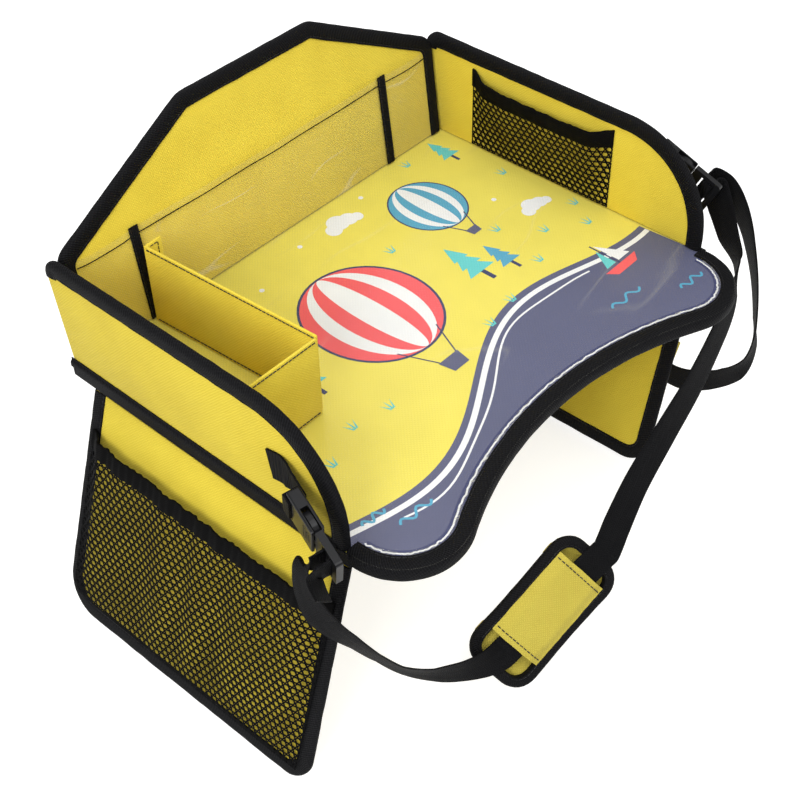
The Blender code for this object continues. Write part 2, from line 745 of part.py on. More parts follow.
def _end_wall(reach):
    """The end wall on its foot, with a raised tab that lies along the left wall."""
    half = DIVIDER_T / 2
    start = half + 3 * GAP
    end = reach - DIVIDER_T
    bm = prism(((start, 0), (reach, 0), (reach, DIVIDER_H), (start, DIVIDER_H)), -half, half)
    _raised_tab(bm, end, -half, half + DIVIDER_RETURN)
    return bm


def _raised_tab(bm, from_x, side, reach):
    """Push a tab out of a wall's end, above the foot, to the reach on one side."""
    for spot, normal in (((from_x, 0, 0), (1, 0, 0)), ((0, DIVIDER_FLANGE_RAISE, 0), (0, 1, 0))):
        whole = bm.verts[:] + bm.edges[:] + bm.faces[:]
        bmesh.ops.bisect_plane(bm, geom=whole, plane_co=spot, plane_no=normal)
    for face in list(bm.faces):
        centre = face.calc_center_median()
        near = abs(centre.z - side) < GAP
        if near and centre.x > from_x and centre.y > DIVIDER_FLANGE_RAISE:
            grown = bmesh.ops.extrude_discrete_faces(bm, faces=[face])
            pushed = (0, 0, math.copysign(reach - abs(side), side))
            bmesh.ops.translate(bm, vec=pushed, verts=grown["faces"][0].verts)
            return


# Flaps

def flap_place(side, splay):
    """A flap's frame on its hinge: X to the rear, Y up the flap, Z to world +X."""
    pivot = (side * (TRAY_EDGE_X - FLAP_AXIS_INSET), 0, -FLAP_AXIS_BELOW)
    up = Vector((-side * math.sin(splay), 0, math.cos(splay)))
    return frame(pivot, Vector((0, 1, 0)), up)


def flap_edge():
    """A flap's taped edge, from its rear top down and round to its front top."""
    corners = (
        (FLAP_REAR_Y, -FLAP_TOP_CLEAR),
        (FLAP_REAR_Y, -FLAP_REAR_DROP),
        (FLAP_FRONT_LOW_Y, -FLAP_FRONT_DROP),
        (FLAP_FRONT_Y, -FLAP_TOP_CLEAR),
    )
    return fillet(corners, (0, FLAP_REAR_RADIUS, FLAP_FRONT_RADIUS, 0), 7)


def make_hinge_tape(finish, name, side):
    """Seam tape under the tray whose round lower edge carries the flap."""
    half = HINGE_TAPE_T / 2
    outline = [(half, -GAP), (-half, -GAP)]
    steps = 10
    opening = math.asin(half / HINGE_BEAD_R)
    for k in range(steps + 1):
        angle = math.pi / 2 + opening + (2 * math.pi - 2 * opening) * k / steps
        level = HINGE_BEAD_R * math.sin(angle) - FLAP_AXIS_BELOW
        outline.append((HINGE_BEAD_R * math.cos(angle), level))
    x = side * (TRAY_EDGE_X - FLAP_AXIS_INSET)
    ends = (FLAP_FRONT_Y, FLAP_REAR_Y)
    tape = loft([[(x + across, y, level) for across, level in outline] for y in ends])
    make_object(f"{name}_flap_hinge_tape", tape, finish["binding"], smooth=True)


def make_flap(finish, name, side, splay):
    """A hanging flap of stiff cloth with tape round three edges."""
    place = flap_place(side, splay)
    edge = flap_edge()
    panel = prism(edge, -FLAP_T / 2, FLAP_T / 2)
    make_object(f"{name}_flap_panel", panel, finish["fabric"], place)
    tape = binding(edge[::-1], -FLAP_T / 2, FLAP_T / 2)
    make_object(f"{name}_flap_binding", tape, finish["binding"], place, smooth=True)
    return place


def make_left_net(finish, place):
    """Net pocket with an elastic top on the left flap's outer face."""
    length = FLAP_REAR_Y - FLAP_FRONT_Y - 2 * NET_SIDE_MARGIN
    height = FLAP_FRONT_DROP - NET_BOTTOM_MARGIN - NET_TOP_DROP
    middle = (FLAP_REAR_Y + FLAP_FRONT_Y) / 2
    face = FLAP_T / 2 + BINDING_OFFSET + GAP + NET_T / 2
    lean = math.atan2(NET_GAPE, height)
    net = net_sheet(length, height, LEFT_NET_COLUMNS, LEFT_NET_ROWS, NET_STRAND, NET_T)
    bmesh.ops.translate(net, vec=(0, height, 0), verts=net.verts)
    foot = (middle, -NET_TOP_DROP - height, -face)
    tilt = Matrix.Translation(foot) @ Matrix.Rotation(-lean, 4, "X")
    bmesh.ops.transform(net, matrix=tilt, verts=net.verts)
    make_object("left_flap_net", net, finish["net"], place)
    hem = box(length, ELASTIC_H, ELASTIC_T, (0, height + GAP + ELASTIC_H / 2, 0))
    bmesh.ops.transform(hem, matrix=tilt, verts=hem.verts)
    soften(make_object("left_flap_elastic", hem, finish["binding"], place), BINDING_SOFTEN)


def make_right_pocket(finish, place):
    """Cloth pocket with side gussets on the right flap's outer face, open at the top."""
    face = FLAP_T / 2 + BINDING_OFFSET + GAP
    wall = GUSSET_T
    middle = (FLAP_REAR_Y + FLAP_FRONT_Y) / 2
    top = -GUSSET_TOP_DROP
    bottom = -GUSSET_BOTTOM_DROP
    profile = (
        (bottom, face),
        (bottom, face + 2 * wall),
        (top, face + GUSSET_GAPE),
        (top, face),
    )
    half = GUSSET_HALF_LENGTH
    ends = (middle - half, middle + half)
    solid = loft([[(x, up, out) for up, out in profile] for x in ends])
    pocket = make_object("right_flap_pocket", solid, finish["fabric"], place)
    slope = (GUSSET_GAPE - 2 * wall) / (top - bottom)
    above = 2 * wall
    hollow = (
        (bottom + 2 * wall, face - GUSSET_GAPE),
        (bottom + 2 * wall, face + wall + slope * 2 * wall),
        (top + above, face + GUSSET_GAPE - wall + slope * above),
        (top + above, face - GUSSET_GAPE),
    )
    ends = (middle - half + wall, middle + half - wall)
    cutter = loft([[(x, up, out) for up, out in hollow] for x in ends])
    cut(pocket, "right_pocket_hollow", cutter)


# Buckles

def make_buckle(finish, name, place):
    """A side-release buckle: socket on the wall tab, plug with ladder bars, two prongs."""
    _make_socket(finish, name, place)
    _make_plug(finish, name, place)
    turned_up = 1 if (place.to_3x3() @ Vector((0, 1, 0))).z > 0 else -1
    for part, up in (("upper", turned_up), ("lower", -turned_up)):
        shape = _prong(up)
        made = make_object(f"{name}_prong_{part}", shape, finish["plastic"], place)
        soften(made, BUCKLE_BEVEL / 3, 1)


def _make_socket(finish, name, place):
    """Socket: two plates, open at the sides and the mouth, with a bar slot for the tab."""
    body = box(SOCKET_L, BUCKLE_W, BUCKLE_T, (SOCKET_L / 2, 0, 0))
    socket = make_object(f"{name}_buckle_socket", body, finish["plastic"], place)
    soften(socket, BUCKLE_BEVEL)
    deep = SOCKET_L
    wide = box(deep, 2 * BUCKLE_W, CAVITY_H, (CAVITY_START + deep / 2, 0, 0))
    cut(socket, f"{name}_socket_mouth", wide)
    narrow = box(deep, POCKET_W, CAVITY_H, (POCKET_START + deep / 2, 0, 0))
    cut(socket, f"{name}_socket_pocket", narrow)
    slot = box(BAR_SLOT_L, SLOT_W, 2 * BUCKLE_T, (BAR_SLOT_START + BAR_SLOT_L / 2, 0, 0))
    cut(socket, f"{name}_socket_slot", slot)


def _make_plug(finish, name, place):
    """Plug: ladder frame with two slots, and a centre tongue that guides it into the socket."""
    half_w = BUCKLE_W / 2
    half_t = TONGUE_W / 2
    start = PLUG_START
    end = PLUG_START + PLUG_L
    plan = fillet(
        (
            (start, -half_w),
            (end, -half_w),
            (end, half_w),
            (start, half_w),
            (start, half_t),
            (TONGUE_START, half_t),
            (TONGUE_START, -half_t),
            (start, -half_t),
        ),
        (0, BUCKLE_BEVEL * 2, BUCKLE_BEVEL * 2, 0, 0, BUCKLE_BEVEL, BUCKLE_BEVEL, 0),
        3,
    )
    plug = prism(plan, -LADDER_T / 2, LADDER_T / 2)
    for vert in plug.verts:
        if vert.co.x < start:
            vert.co.z *= TONGUE_T / LADDER_T
    made = make_object(f"{name}_buckle_plug", plug, finish["plastic"], place)
    for k, spot in enumerate(LADDER_SLOT_STARTS):
        slot = box(LADDER_SLOT_L, SLOT_W, 2 * BUCKLE_T, (spot + LADDER_SLOT_L / 2, 0, 0))
        cut(made, f"{name}_ladder_slot_{k}", slot)


def _prong(up):
    """One springy prong: rooted at the plug, bowed out to a thumb pad, hooked in at its tip."""
    root = PLUG_START - GAP
    run = root - PRONG_START
    rings = []
    steps = 8
    for k in range(steps + 1):
        t = k / steps
        middle = PRONG_ROOT + (PRONG_BULGE - PRONG_ROOT) * math.sin(math.pi * t) ** PRONG_BOW_POWER
        inner = middle - PRONG_W * (1 - t * PRONG_TAPER_SHARE)
        x = root - run * t
        level = PRONG_T / 2
        ring = ((x, up * inner, -level), (x, up * middle, -level))
        rings.append(ring + ((x, up * middle, level), (x, up * inner, level)))
    return loft(rings)


def buckle_frames():
    """Frames of the two buckles, Z facing out of the tray's sides."""
    left = frame(LEFT_BUCKLE_POINT, LEFT_BUCKLE_AXIS, Vector(LEFT_BUCKLE_WIDTH))
    right = frame(RIGHT_BUCKLE_POINT, RIGHT_BUCKLE_AXIS, -Vector(RIGHT_BUCKLE_WIDTH))
    return left, right


def make_tab(finish, name, side, place):
    """Webbing tab: sewn flat on the wall, then hooked through the socket's slot."""
    slot = BAR_SLOT_START + BAR_SLOT_L / 2
    half = WEB_T / 2
    level = BUCKLE_T / 2 + GAP
    outer = (
        (-HOOK_REACH, -level - WEB_T),
        (slot + half, -level - WEB_T),
        (slot + half, level + WEB_T),
        (-GAP - WEB_T, level + WEB_T),
        (-GAP - WEB_T, -level + GAP),
    )
    inner = (
        (-GAP, -level + GAP),
        (-GAP, level),
        (slot - half, level),
        (slot - half, -level),
        (-HOOK_REACH, -level),
    )
    hook = web_profile(outer + inner)
    make_object(f"{name}_tab_loop", hook, finish["webbing"], place)
    back = place.to_3x3() @ Vector((-1, 0, 0))
    width = place.to_3x3() @ Vector((0, 1, 0))
    if width.z < 0:
        width = -width
    joined = place @ Vector((-HOOK_REACH - GAP, 0, -level - half))
    wall_x = side * (WALL_OUTER_X + 2 * GAP + half)
    upright = Vector((0, 0, 1))
    sewn = Vector((wall_x, joined.y + TAB_LENGTH - HOOK_REACH, joined.z))
    level = joined.z + TAB_RISE * TAB_FLAT_RISE_SHARE
    flat = Vector((wall_x, joined.y + TAB_LENGTH * TAB_FLAT_SHARE, level))
    near = Vector((wall_x + side * WEB_T, joined.y + TAB_LENGTH * TAB_NEAR_SHARE, joined.z + TAB_RISE))
    route = (
        (joined, width),
        (joined + back * WEB_GUIDE, width),
        (near, upright),
        (flat, upright),
        (sewn, upright),
    )
    tab = ribbon_pieces(route, ROUTE_STEPS)[0]
    make_object(f"{name}_tab", tab, finish["webbing"])


def web_profile(profile):
    """Webbing of full width from its outline seen edge-on, in local X and Z."""
    sides = (-WEB_W / 2, WEB_W / 2)
    return loft([[(x, y, z) for x, z in profile] for y in sides])


def make_wrap(finish, name, place):
    """Webbing threaded through one ladder slot, round the middle bar and out of the other."""
    near, far = (spot + LADDER_SLOT_L / 2 for spot in LADDER_SLOT_STARTS)
    level = LADDER_T / 2 + GAP
    half = WEB_T / 2
    outer = (
        (near - half, WRAP_DEPTH),
        (near - half, -level - half),
        (near, -level - WEB_T),
        (far, -level - WEB_T),
        (far + half, -level - half),
        (far + half, WRAP_DEPTH),
    )
    inner = (
        (far - half, WRAP_DEPTH),
        (far - half, -level),
        (near + half, -level),
        (near + half, WRAP_DEPTH),
    )
    wrap = web_profile(outer + inner)
    make_object(f"{name}_ladder_webbing", wrap, finish["webbing"], place)


# Strap and pad

def web_end(place, slot):
    """Two route points that lead straight away from one end of the threaded webbing."""
    x = LADDER_SLOT_STARTS[slot] + LADDER_SLOT_L / 2
    width = place.to_3x3() @ Vector((0, 1, 0))
    if width.z < 0:
        width = -width
    start = place @ Vector((x, 0, WRAP_DEPTH + GAP))
    outer = place @ Vector((x, 0, WRAP_DEPTH + WEB_GUIDE))
    return (start, width), (outer, width)


def pad_frame():
    """The pad's frame: X along the strap, Z out of its face."""
    face = Vector(PAD_FACE)
    along = Vector(PAD_ALONG)
    return frame(PAD_CENTRE, along, face.cross(along))


def web_level():
    """Height of the webbing's middle above the cushion's flat side."""
    return BINDING_OFFSET + GAP + WEB_T / 2


def make_strap(finish, left, right):
    """The strap's free stretches, from the left ladder through the pad to the right one."""
    inside = _pad_points()
    route = web_end(left, 0) + LEFT_ROUTE + inside + RIGHT_ROUTE + web_end(right, 1)[::-1]
    to_pad = len(LEFT_ROUTE) + 3
    from_pad = to_pad + 2
    to_lead = len(route) - 2 - RIGHT_LEAD_POINTS
    splits = (LEFT_LEAD_POINTS, to_pad, from_pad, to_lead)
    names = ("left_lead", "left_run", "through_pad", "right_run", "right_lead")
    for name, piece in zip(names, ribbon_pieces(route, ROUTE_STEPS, splits)):
        bmesh.ops.triangulate(piece, faces=piece.faces)
        make_object(f"strap_{name}", piece, finish["webbing"])
    for name, start, rest in (
        ("left_end", web_end(left, 1), LEFT_END_ROUTE),
        ("right_tail", web_end(right, 0), RIGHT_TAIL_ROUTE),
    ):
        piece = ribbon_pieces(start + rest, ROUTE_STEPS)[0]
        bmesh.ops.triangulate(piece, faces=piece.faces)
        make_object(f"strap_{name}", piece, finish["webbing"])


def _pad_points():
    """Route points of the straight stretch over the pad, with a guide point at each end."""
    pad = pad_frame()
    across = pad.to_3x3() @ Vector((WEB_SLANT, 1, 0))
    back = WEB_RUN_BACK
    ahead = WEB_RUN_AHEAD
    middle = (back + ahead) / 2
    points = []
    for spot in (back - WEB_GUIDE, back, middle, ahead, ahead + WEB_GUIDE):
        aside = (middle - spot) * WEB_SLANT
        points.append((pad @ Vector((spot, aside, web_level())), across))
    return tuple(points)


def pad_outline(shrink):
    """Rounded outline of the pad with sides drawn in at the waist, shrunk by a distance."""
    half_l = PAD_L / 2 - shrink
    half_w = PAD_W / 2 - shrink
    radius = max(PAD_RADIUS - shrink, PAD_RADIUS / 2)
    corners = ((half_l, -half_w), (half_l, half_w), (-half_l, half_w), (-half_l, -half_w))
    outline = fillet(corners, (radius,) * 4, 4)
    drawn = []
    for x, y in _with_side_points(outline):
        waist = PAD_WAIST * math.cos(math.pi * x / PAD_L) if abs(x) < half_l else 0
        drawn.append((x, y - math.copysign(waist, y)))
    return drawn


def _with_side_points(outline):
    """Add points along the long straight sides so that they can be drawn in."""
    dense = []
    count = len(outline)
    for i, here in enumerate(outline):
        there = outline[(i + 1) % count]
        dense.append(here)
        if abs(there[0] - here[0]) > PAD_L / 3:
            for k in (1, 2, 3):
                share = k / 4
                dense.append((here[0] + (there[0] - here[0]) * share, here[1]))
    return dense


def make_pad(finish):
    """Crowned shoulder cushion, its tape and the sleeve that holds it on the strap."""
    place = pad_frame()
    levels = (
        (PAD_W * PAD_TOP_SHARE, -PAD_EDGE_T - PAD_CROWN),
        (PAD_W * PAD_SHOULDER_SHARES[0], -PAD_EDGE_T - PAD_CROWN * PAD_SHOULDER_SHARES[1]),
        (PAD_BINDING_LEG + 2 * GAP, -PAD_EDGE_T - PAD_CROWN * PAD_FOOT_SHARE),
        (PAD_BINDING_LEG + GAP, -PAD_EDGE_T),
        (0, -PAD_EDGE_T),
        (0, 0),
    )
    rings = [[(x, y, z) for x, y in pad_outline(shrink)] for shrink, z in levels]
    make_object("pad_cushion", loft(rings), finish["fabric"], place, smooth=True)
    tape = binding(pad_outline(0), -PAD_EDGE_T, 0, True, PAD_BINDING_LEG)
    make_object("pad_binding", tape, finish["binding"], place, smooth=True)
    low = web_level() + WEB_T / 2 + GAP
    high = low + SLEEVE_T
    half = SLEEVE_W / 2
    middle = SLEEVE_MIDDLE
    section = (
        (-half, GAP),
        (-half, low),
        (-half + SLEEVE_T, high),
        (half - SLEEVE_T, high),
        (half, low),
        (half, GAP),
        (half - SLEEVE_T, GAP),
        (half - SLEEVE_T, low),
        (-half + SLEEVE_T, low),
        (-half + SLEEVE_T, GAP),
    )
    ends = (middle - SLEEVE_L / 2, middle + SLEEVE_L / 2)
    sleeve = loft([[(x, y, z) for y, z in section] for x in ends])
    make_object("pad_sleeve", sleeve, finish["fabric"], place)


def hang(name, place, parts):
    """Carry the parts of one moving body on an empty that sits on its joint's axis."""
    pivot = bpy.data.objects.new(name, None)
    bpy.context.scene.collection.objects.link(pivot)
    pivot.matrix_world = place
    for part in parts:
        carried = bpy.data.objects[part]
        carried.parent = pivot
        carried.matrix_parent_inverse = place.inverted()


def hang_moving_bodies(left, right):
    """Carry the walls' buckle sockets and tabs, the plugs' webbing, the pad and the divider."""
    reach = WALL_OUTER_X + GAP + BAND_T
    for name, side, place, tail in (("left", -1, left, "left_end"), ("right", 1, right, "right_tail")):
        wall = Matrix.Translation((side * reach, 0, WALL_BASE_Z + WALL_AXIS_RAISE))
        hang(f"{name}_wall_axis", wall, (f"{name}_buckle_socket", f"{name}_tab_loop", f"{name}_tab"))
        carried = ["buckle_plug", "ladder_webbing", "prong_upper", "prong_lower"]
        names = [f"{name}_{part}" for part in carried]
        hang(f"{name}_unclip_axis", place, names + [f"strap_{name}_lead", f"strap_{tail}"])
    hang("pad_slide_axis", pad_frame(), ("pad_cushion", "pad_binding", "pad_sleeve"))
    hang("divider_fold_axis", divider_fold_place(), ("divider_long_wall",))


def main():
    """Build the whole tray."""
    clear_scene()
    finish = make_materials()
    make_tray(finish)
    make_bands(finish)
    make_side_wall(finish, "left", -1)
    make_side_wall(finish, "right", 1)
    make_wall_pocket(finish)
    make_rear_wall(finish)
    make_divider(finish)
    make_hinge_tape(finish, "left", -1)
    make_hinge_tape(finish, "right", 1)
    left_flap = make_flap(finish, "left", -1, LEFT_SPLAY)
    right_flap = make_flap(finish, "right", 1, RIGHT_SPLAY)
    make_left_net(finish, left_flap)
    make_right_pocket(finish, right_flap)
    left, right = buckle_frames()
    for name, side, place in (("left", -1, left), ("right", 1, right)):
        make_buckle(finish, name, place)
        make_tab(finish, name, side, place)
        make_wrap(finish, name, place)
    make_strap(finish, left, right)
    make_pad(finish)
    hang_moving_bodies(left, right)


main()
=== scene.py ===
"""Car seat tray table: the detailed visual scene."""

import math
import bmesh
import bpy
from bpy.props import FloatProperty, FloatVectorProperty, IntProperty, PointerProperty
from mathutils import Matrix, Vector, noise


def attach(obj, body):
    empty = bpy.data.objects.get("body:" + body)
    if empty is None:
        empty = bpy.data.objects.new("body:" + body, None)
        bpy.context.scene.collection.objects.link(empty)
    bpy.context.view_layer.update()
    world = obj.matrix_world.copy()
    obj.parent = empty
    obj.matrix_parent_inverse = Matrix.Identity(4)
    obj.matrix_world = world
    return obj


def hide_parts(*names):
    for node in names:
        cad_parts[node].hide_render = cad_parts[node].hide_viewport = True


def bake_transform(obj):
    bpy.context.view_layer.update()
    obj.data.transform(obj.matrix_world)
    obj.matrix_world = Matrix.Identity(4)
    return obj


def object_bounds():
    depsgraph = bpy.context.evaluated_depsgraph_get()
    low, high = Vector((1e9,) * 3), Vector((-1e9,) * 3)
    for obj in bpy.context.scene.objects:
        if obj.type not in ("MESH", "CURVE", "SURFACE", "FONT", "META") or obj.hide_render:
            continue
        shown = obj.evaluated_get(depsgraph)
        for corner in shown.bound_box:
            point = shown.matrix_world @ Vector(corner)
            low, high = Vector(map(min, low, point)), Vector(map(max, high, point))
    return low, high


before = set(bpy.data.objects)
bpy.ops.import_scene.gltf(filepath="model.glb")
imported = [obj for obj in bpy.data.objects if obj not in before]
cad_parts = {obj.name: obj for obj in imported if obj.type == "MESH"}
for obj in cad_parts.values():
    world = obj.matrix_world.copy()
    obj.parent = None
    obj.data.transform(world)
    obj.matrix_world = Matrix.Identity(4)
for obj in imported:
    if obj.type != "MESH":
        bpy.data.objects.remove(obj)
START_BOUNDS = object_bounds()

bl_info = {
    "name": "Car seat tray table",
    "version": (1, 0, 0),
    "blender": (4, 5, 0),
    "location": "View3D > Sidebar > Tray",
    "description": "Builds a folding fabric travel tray with walls, flaps, pockets and a strap",
    "category": "Object",
}

CAMERA_PLACE = (-0.6008, -0.5341, 0.7059)
CAMERA_RIGHT = (0.6667, -0.7451, -0.0181)
CAMERA_UP = (0.5291, 0.4560, 0.7157)
CAMERA_LENS = 63.02

# Sizes of the frame's solids, in metres
HALF_WIDTH = 0.2000
PANEL_T = 0.0050
FLAP_T = 0.0026
REAR_Y = 0.1500
TRAY_HALF = 0.2050
TRAY_REAR = 0.1580
TRAY_TOP = 0.0120
PRINT_LOW = 0.0107
PRINT_TOP = 0.0113
WALL_BASE = 0.0123
LOBE_R = 0.0485
LOBE_Y = -0.1215
BELLY_Y = -0.1338
WALL_TOP = 0.0905
WALL_CURVE_Y = -0.0400
WALL_FRONT_Y = -0.1160
WALL_STRAIGHT = 0.0110
WALL_REAR_Y = 0.1575
WALL_REAR_TOP_Y = 0.1680
REAR_LEAN = math.radians(6.8)
REAR_PIVOT = (0, 0.1563, 0.0126)
REAR_HALF = 0.1969
REAR_SIDE_H = 0.0860
REAR_TOP_H = 0.1545
REAR_TOP_HALF = 0.0660
POCKET_H = 0.0740
STRIPS = (("left", -0.1330), ("right", 0.1325))
DIVIDER_T = 0.0022
DIVIDER_H = 0.0700
DIVIDER_CORNER = (-0.1225, -0.0170)
DIVIDER_REAR = (-0.1335, 0.1474)
FLAP_X = 0.2030
FLAP_Z = -0.0034
FLAP_EDGE = ((0.1375, -0.0015), (0.1375, -0.1950), (-0.1260, -0.1900), (-0.1175, -0.0015))
FLAP_RADII = (0, 0.030, 0.021, 0)
LEFT_SPLAY = math.radians(20.0)
RIGHT_SPLAY = math.radians(-17.4)
WEB_W = 0.0250
WEB_T = 0.0014
PAD_CENTRE = (-0.0721, -0.1824, -0.1280)
PAD_ALONG = (0.8449, -0.1443, 0.5151)
PAD_FACE = (-0.4330, -0.7500, 0.5000)
PAD_L = 0.1160
PAD_W = 0.0620
LEFT_BUCKLE = ((-0.2169, -0.0842, 0.0485), (-0.2455, -0.9165, -0.3142), (-0.2045, -0.2680, 0.9420))
RIGHT_BUCKLE = ((0.2168, -0.0569, 0.0693), (0.1000, -0.9000, -0.4200), (-0.1000, 0.3300, -0.9300))
LADDER_SLOTS = (0.0429, 0.0509)
WRAP_DEPTH = 0.0082

# Route of the webbing, close to the solids: each point with the direction of its width
LEFT_ROUTE = (
    ((-0.2427, -0.1184, 0.0325), (-0.26, -0.89, 0.36)),
    ((-0.2451, -0.1189, 0.0239), (-0.20, -0.96, 0.17)),
    ((-0.2452, -0.1223, 0.0079), (0.06, -0.96, 0.26)),
    ((-0.2411, -0.1287, -0.0143), (0.33, -0.86, 0.38)),
    ((-0.2323, -0.1358, -0.0334), (0.29, -0.85, 0.43)),
    ((-0.2187, -0.1427, -0.0573), (0.18, -0.93, 0.32)),
    ((-0.2009, -0.1479, -0.0863), (0.20, -0.93, 0.31)),
    ((-0.1757, -0.1535, -0.1184), (0.38, -0.72, 0.59)),
    ((-0.1550, -0.1618, -0.1330), (0.39, -0.36, 0.85)),
    ((-0.1407, -0.1668, -0.1401), (0.32, -0.12, 0.94)),
    ((-0.1289, -0.1712, -0.1431), (0.25, 0.13, 0.96)),
    ((-0.1188, -0.1737, -0.1448), (0.18, 0.40, 0.90)),
)
RIGHT_ROUTE = (
    ((-0.0002, -0.1925, -0.0846), (-0.49, 0.61, 0.63)),
    ((0.0312, -0.1863, -0.0681), (-0.43, 0.51, 0.74)),
    ((0.0743, -0.1813, -0.0494), (-0.36, 0.41, 0.84)),
    ((0.1208, -0.1744, -0.0354), (-0.33, 0.31, 0.89)),
    ((0.1722, -0.1628, -0.0202), (-0.29, 0.24, 0.93)),
    ((0.1960, -0.1554, -0.0172), (-0.17, 0.20, 0.97)),
    ((0.2137, -0.1478, -0.0161), (-0.31, 0.05, 0.95)),
    ((0.2311, -0.1367, -0.0069), (-0.45, -0.38, 0.80)),
    ((0.2336, -0.1249, 0.0094), (-0.16, -0.75, 0.64)),
    ((0.2377, -0.1120, 0.0286), (0.04, -0.70, 0.70)),
    ((0.2380, -0.1023, 0.0452), (0.11, -0.45, 0.89)),
)
LEFT_END_ROUTE = (
    ((-0.2435, -0.1278, 0.0297), (-0.72, -0.21, 0.67)),
    ((-0.2452, -0.1311, 0.0268), (-0.70, -0.20, 0.69)),
    ((-0.2468, -0.1353, 0.0240), (-0.67, -0.17, 0.73)),
    ((-0.2483, -0.1399, 0.0219), (-0.65, -0.14, 0.75)),
)
RIGHT_TAIL_ROUTE = (
    ((0.2425, -0.0941, 0.0493), (0.11, -0.41, 0.91)),
    ((0.2486, -0.1034, 0.0443), (0.05, -0.50, 0.86)),
    ((0.2507, -0.1132, 0.0361), (-0.13, -0.65, 0.75)),
    ((0.2494, -0.1244, 0.0245), (-0.35, -0.72, 0.60)),
    ((0.2462, -0.1361, 0.0061), (-0.54, -0.71, 0.44)),
    ((0.2417, -0.1499, -0.0263), (-0.70, -0.65, 0.31)),
    ((0.2368, -0.1600, -0.0648), (-0.80, -0.54, 0.24)),
    ((0.2315, -0.1638, -0.0914), (-0.96, -0.09, 0.26)),
    ((0.2233, -0.1552, -0.1133), (-0.62, 0.49, 0.61)),
    ((0.2175, -0.1327, -0.1306), (-0.27, 0.44, 0.85)),
    ((0.2140, -0.1125, -0.1382), (-0.07, 0.17, 0.98)),
    ((0.2130, -0.0923, -0.1379), (-0.04, -0.02, 1.00)),
)
LEFT_LEAD_POINTS = 5
RIGHT_LEAD_POINTS = 4
ROUTE_STEPS = 10


class TraySizes(bpy.types.PropertyGroup):
    """Sizes of the sewn details."""

    tape_leg: FloatProperty(
        name="Tape leg",
        description="How far the edge tape reaches over a panel",
        default=0.0110,
        unit="LENGTH",
    )
    tape_proud: FloatProperty(
        name="Tape proud",
        description="How far the edge tape stands proud of a panel",
        default=0.0013,
        unit="LENGTH",
    )
    stitch: FloatProperty(
        name="Stitch",
        description="Length of one stitch and its gap",
        default=0.0036,
        unit="LENGTH",
    )
    net_pitch: FloatProperty(
        name="Net pitch",
        description="Distance between the holes of the net",
        default=0.0058,
        unit="LENGTH",
    )
    net_strand: FloatProperty(
        name="Net strand",
        description="Width of the net between two holes",
        default=0.0025,
        unit="LENGTH",
    )
    weave: FloatProperty(
        name="Weave",
        description="Pitch of the cloth's weave",
        default=0.0017,
        unit="LENGTH",
    )
    pad_steps: IntProperty(
        name="Pad steps",
        description="Frames of the shoulder pad's swelling",
        default=16,
        min=1,
        max=60,
    )


class TrayColours(bpy.types.PropertyGroup):
    """Colours of the cloth, tape and print."""

    cloth: FloatVectorProperty(
        name="Cloth",
        description="Yellow of the panels",
        subtype="COLOR",
        default=(0.800, 0.640, 0.066),
    )
    # Painted shade: the panels' yellow made darker and more olive for the shoulder pad.
    pad: FloatVectorProperty(
        name="Pad cloth",
        description="Yellow of the shoulder pad",
        subtype="COLOR",
        default=(0.560, 0.470, 0.078),
    )
    tape: FloatVectorProperty(
        name="Tape",
        description="Black of the tape and webbing",
        subtype="COLOR",
        default=(0.0034, 0.0034, 0.0038),
    )
    ground: FloatVectorProperty(
        name="Print ground",
        description="Ground colour of the printed sheet",
        subtype="COLOR",
        default=(0.830, 0.715, 0.098),
    )
    slate: FloatVectorProperty(
        name="Slate",
        description="Slate blue of the printed sheet",
        subtype="COLOR",
        default=(0.082, 0.090, 0.185),
    )
    coral: FloatVectorProperty(
        name="Coral",
        description="Coral red of the printed sheet",
        subtype="COLOR",
        default=(0.880, 0.090, 0.110),
    )
    blue: FloatVectorProperty(
        name="Blue",
        description="Mid blue of the printed sheet",
        subtype="COLOR",
        default=(0.070, 0.370, 0.560),
    )
    teal: FloatVectorProperty(
        name="Teal",
        description="Teal of the printed sheet",
        subtype="COLOR",
        default=(0.110, 0.600, 0.600),
    )


def sizes():
    """The sewn details' sizes."""
    return bpy.context.scene.tray_sizes


def colours():
    """The colours in use."""
    return bpy.context.scene.tray_colours


# Materials

def start_look(name, roughness):
    """A material with its node tree, shader and a way to add wired nodes."""
    made = bpy.data.materials.new(name)
    made.use_nodes = True
    tree = made.node_tree
    skin = tree.nodes["Principled BSDF"]
    skin.inputs["Roughness"].default_value = roughness
    return made, tree, skin


def wire(tree, kind, sources=(), **settings):
    """Add a node, set its properties and join or fill its inputs."""
    node = tree.nodes.new(kind)
    for name, value in settings.items():
        setattr(node, name, value)
    for slot, source in sources:
        if isinstance(source, bpy.types.NodeSocket):
            tree.links.new(source, node.inputs[slot])
        else:
            node.inputs[slot].default_value = source
    return node


def maths(tree, operation, one, two=0.0):
    """A math node's result."""
    return wire(tree, "ShaderNodeMath", ((0, one), (1, two)), operation=operation).outputs[0]


def place_on(tree, surface):
    """Coordinates in metres: the piece's own UV map, or its place."""
    node = tree.nodes.new("ShaderNodeTexCoord")
    return node.outputs["UV" if surface else "Object"]


def rows(tree, where, pitch, turn=0.0, axis="X"):
    """Even ribs of the given pitch, turned about Z."""
    turned = wire(tree, "ShaderNodeMapping", (("Vector", where), ("Rotation", (0, 0, turn))))
    scale = 2 * math.pi / (20 * pitch)
    wave = wire(
        tree,
        "ShaderNodeTexWave",
        (("Vector", turned.outputs[0]), ("Scale", scale)),
        bands_direction=axis,
    )
    return wave.outputs["Fac"]


def mottle(tree, where, scale, detail=3.0):
    """Soft noise between 0 and 1."""
    sources = (("Vector", where), ("Scale", scale), ("Detail", detail))
    return wire(tree, "ShaderNodeTexNoise", sources).outputs["Fac"]


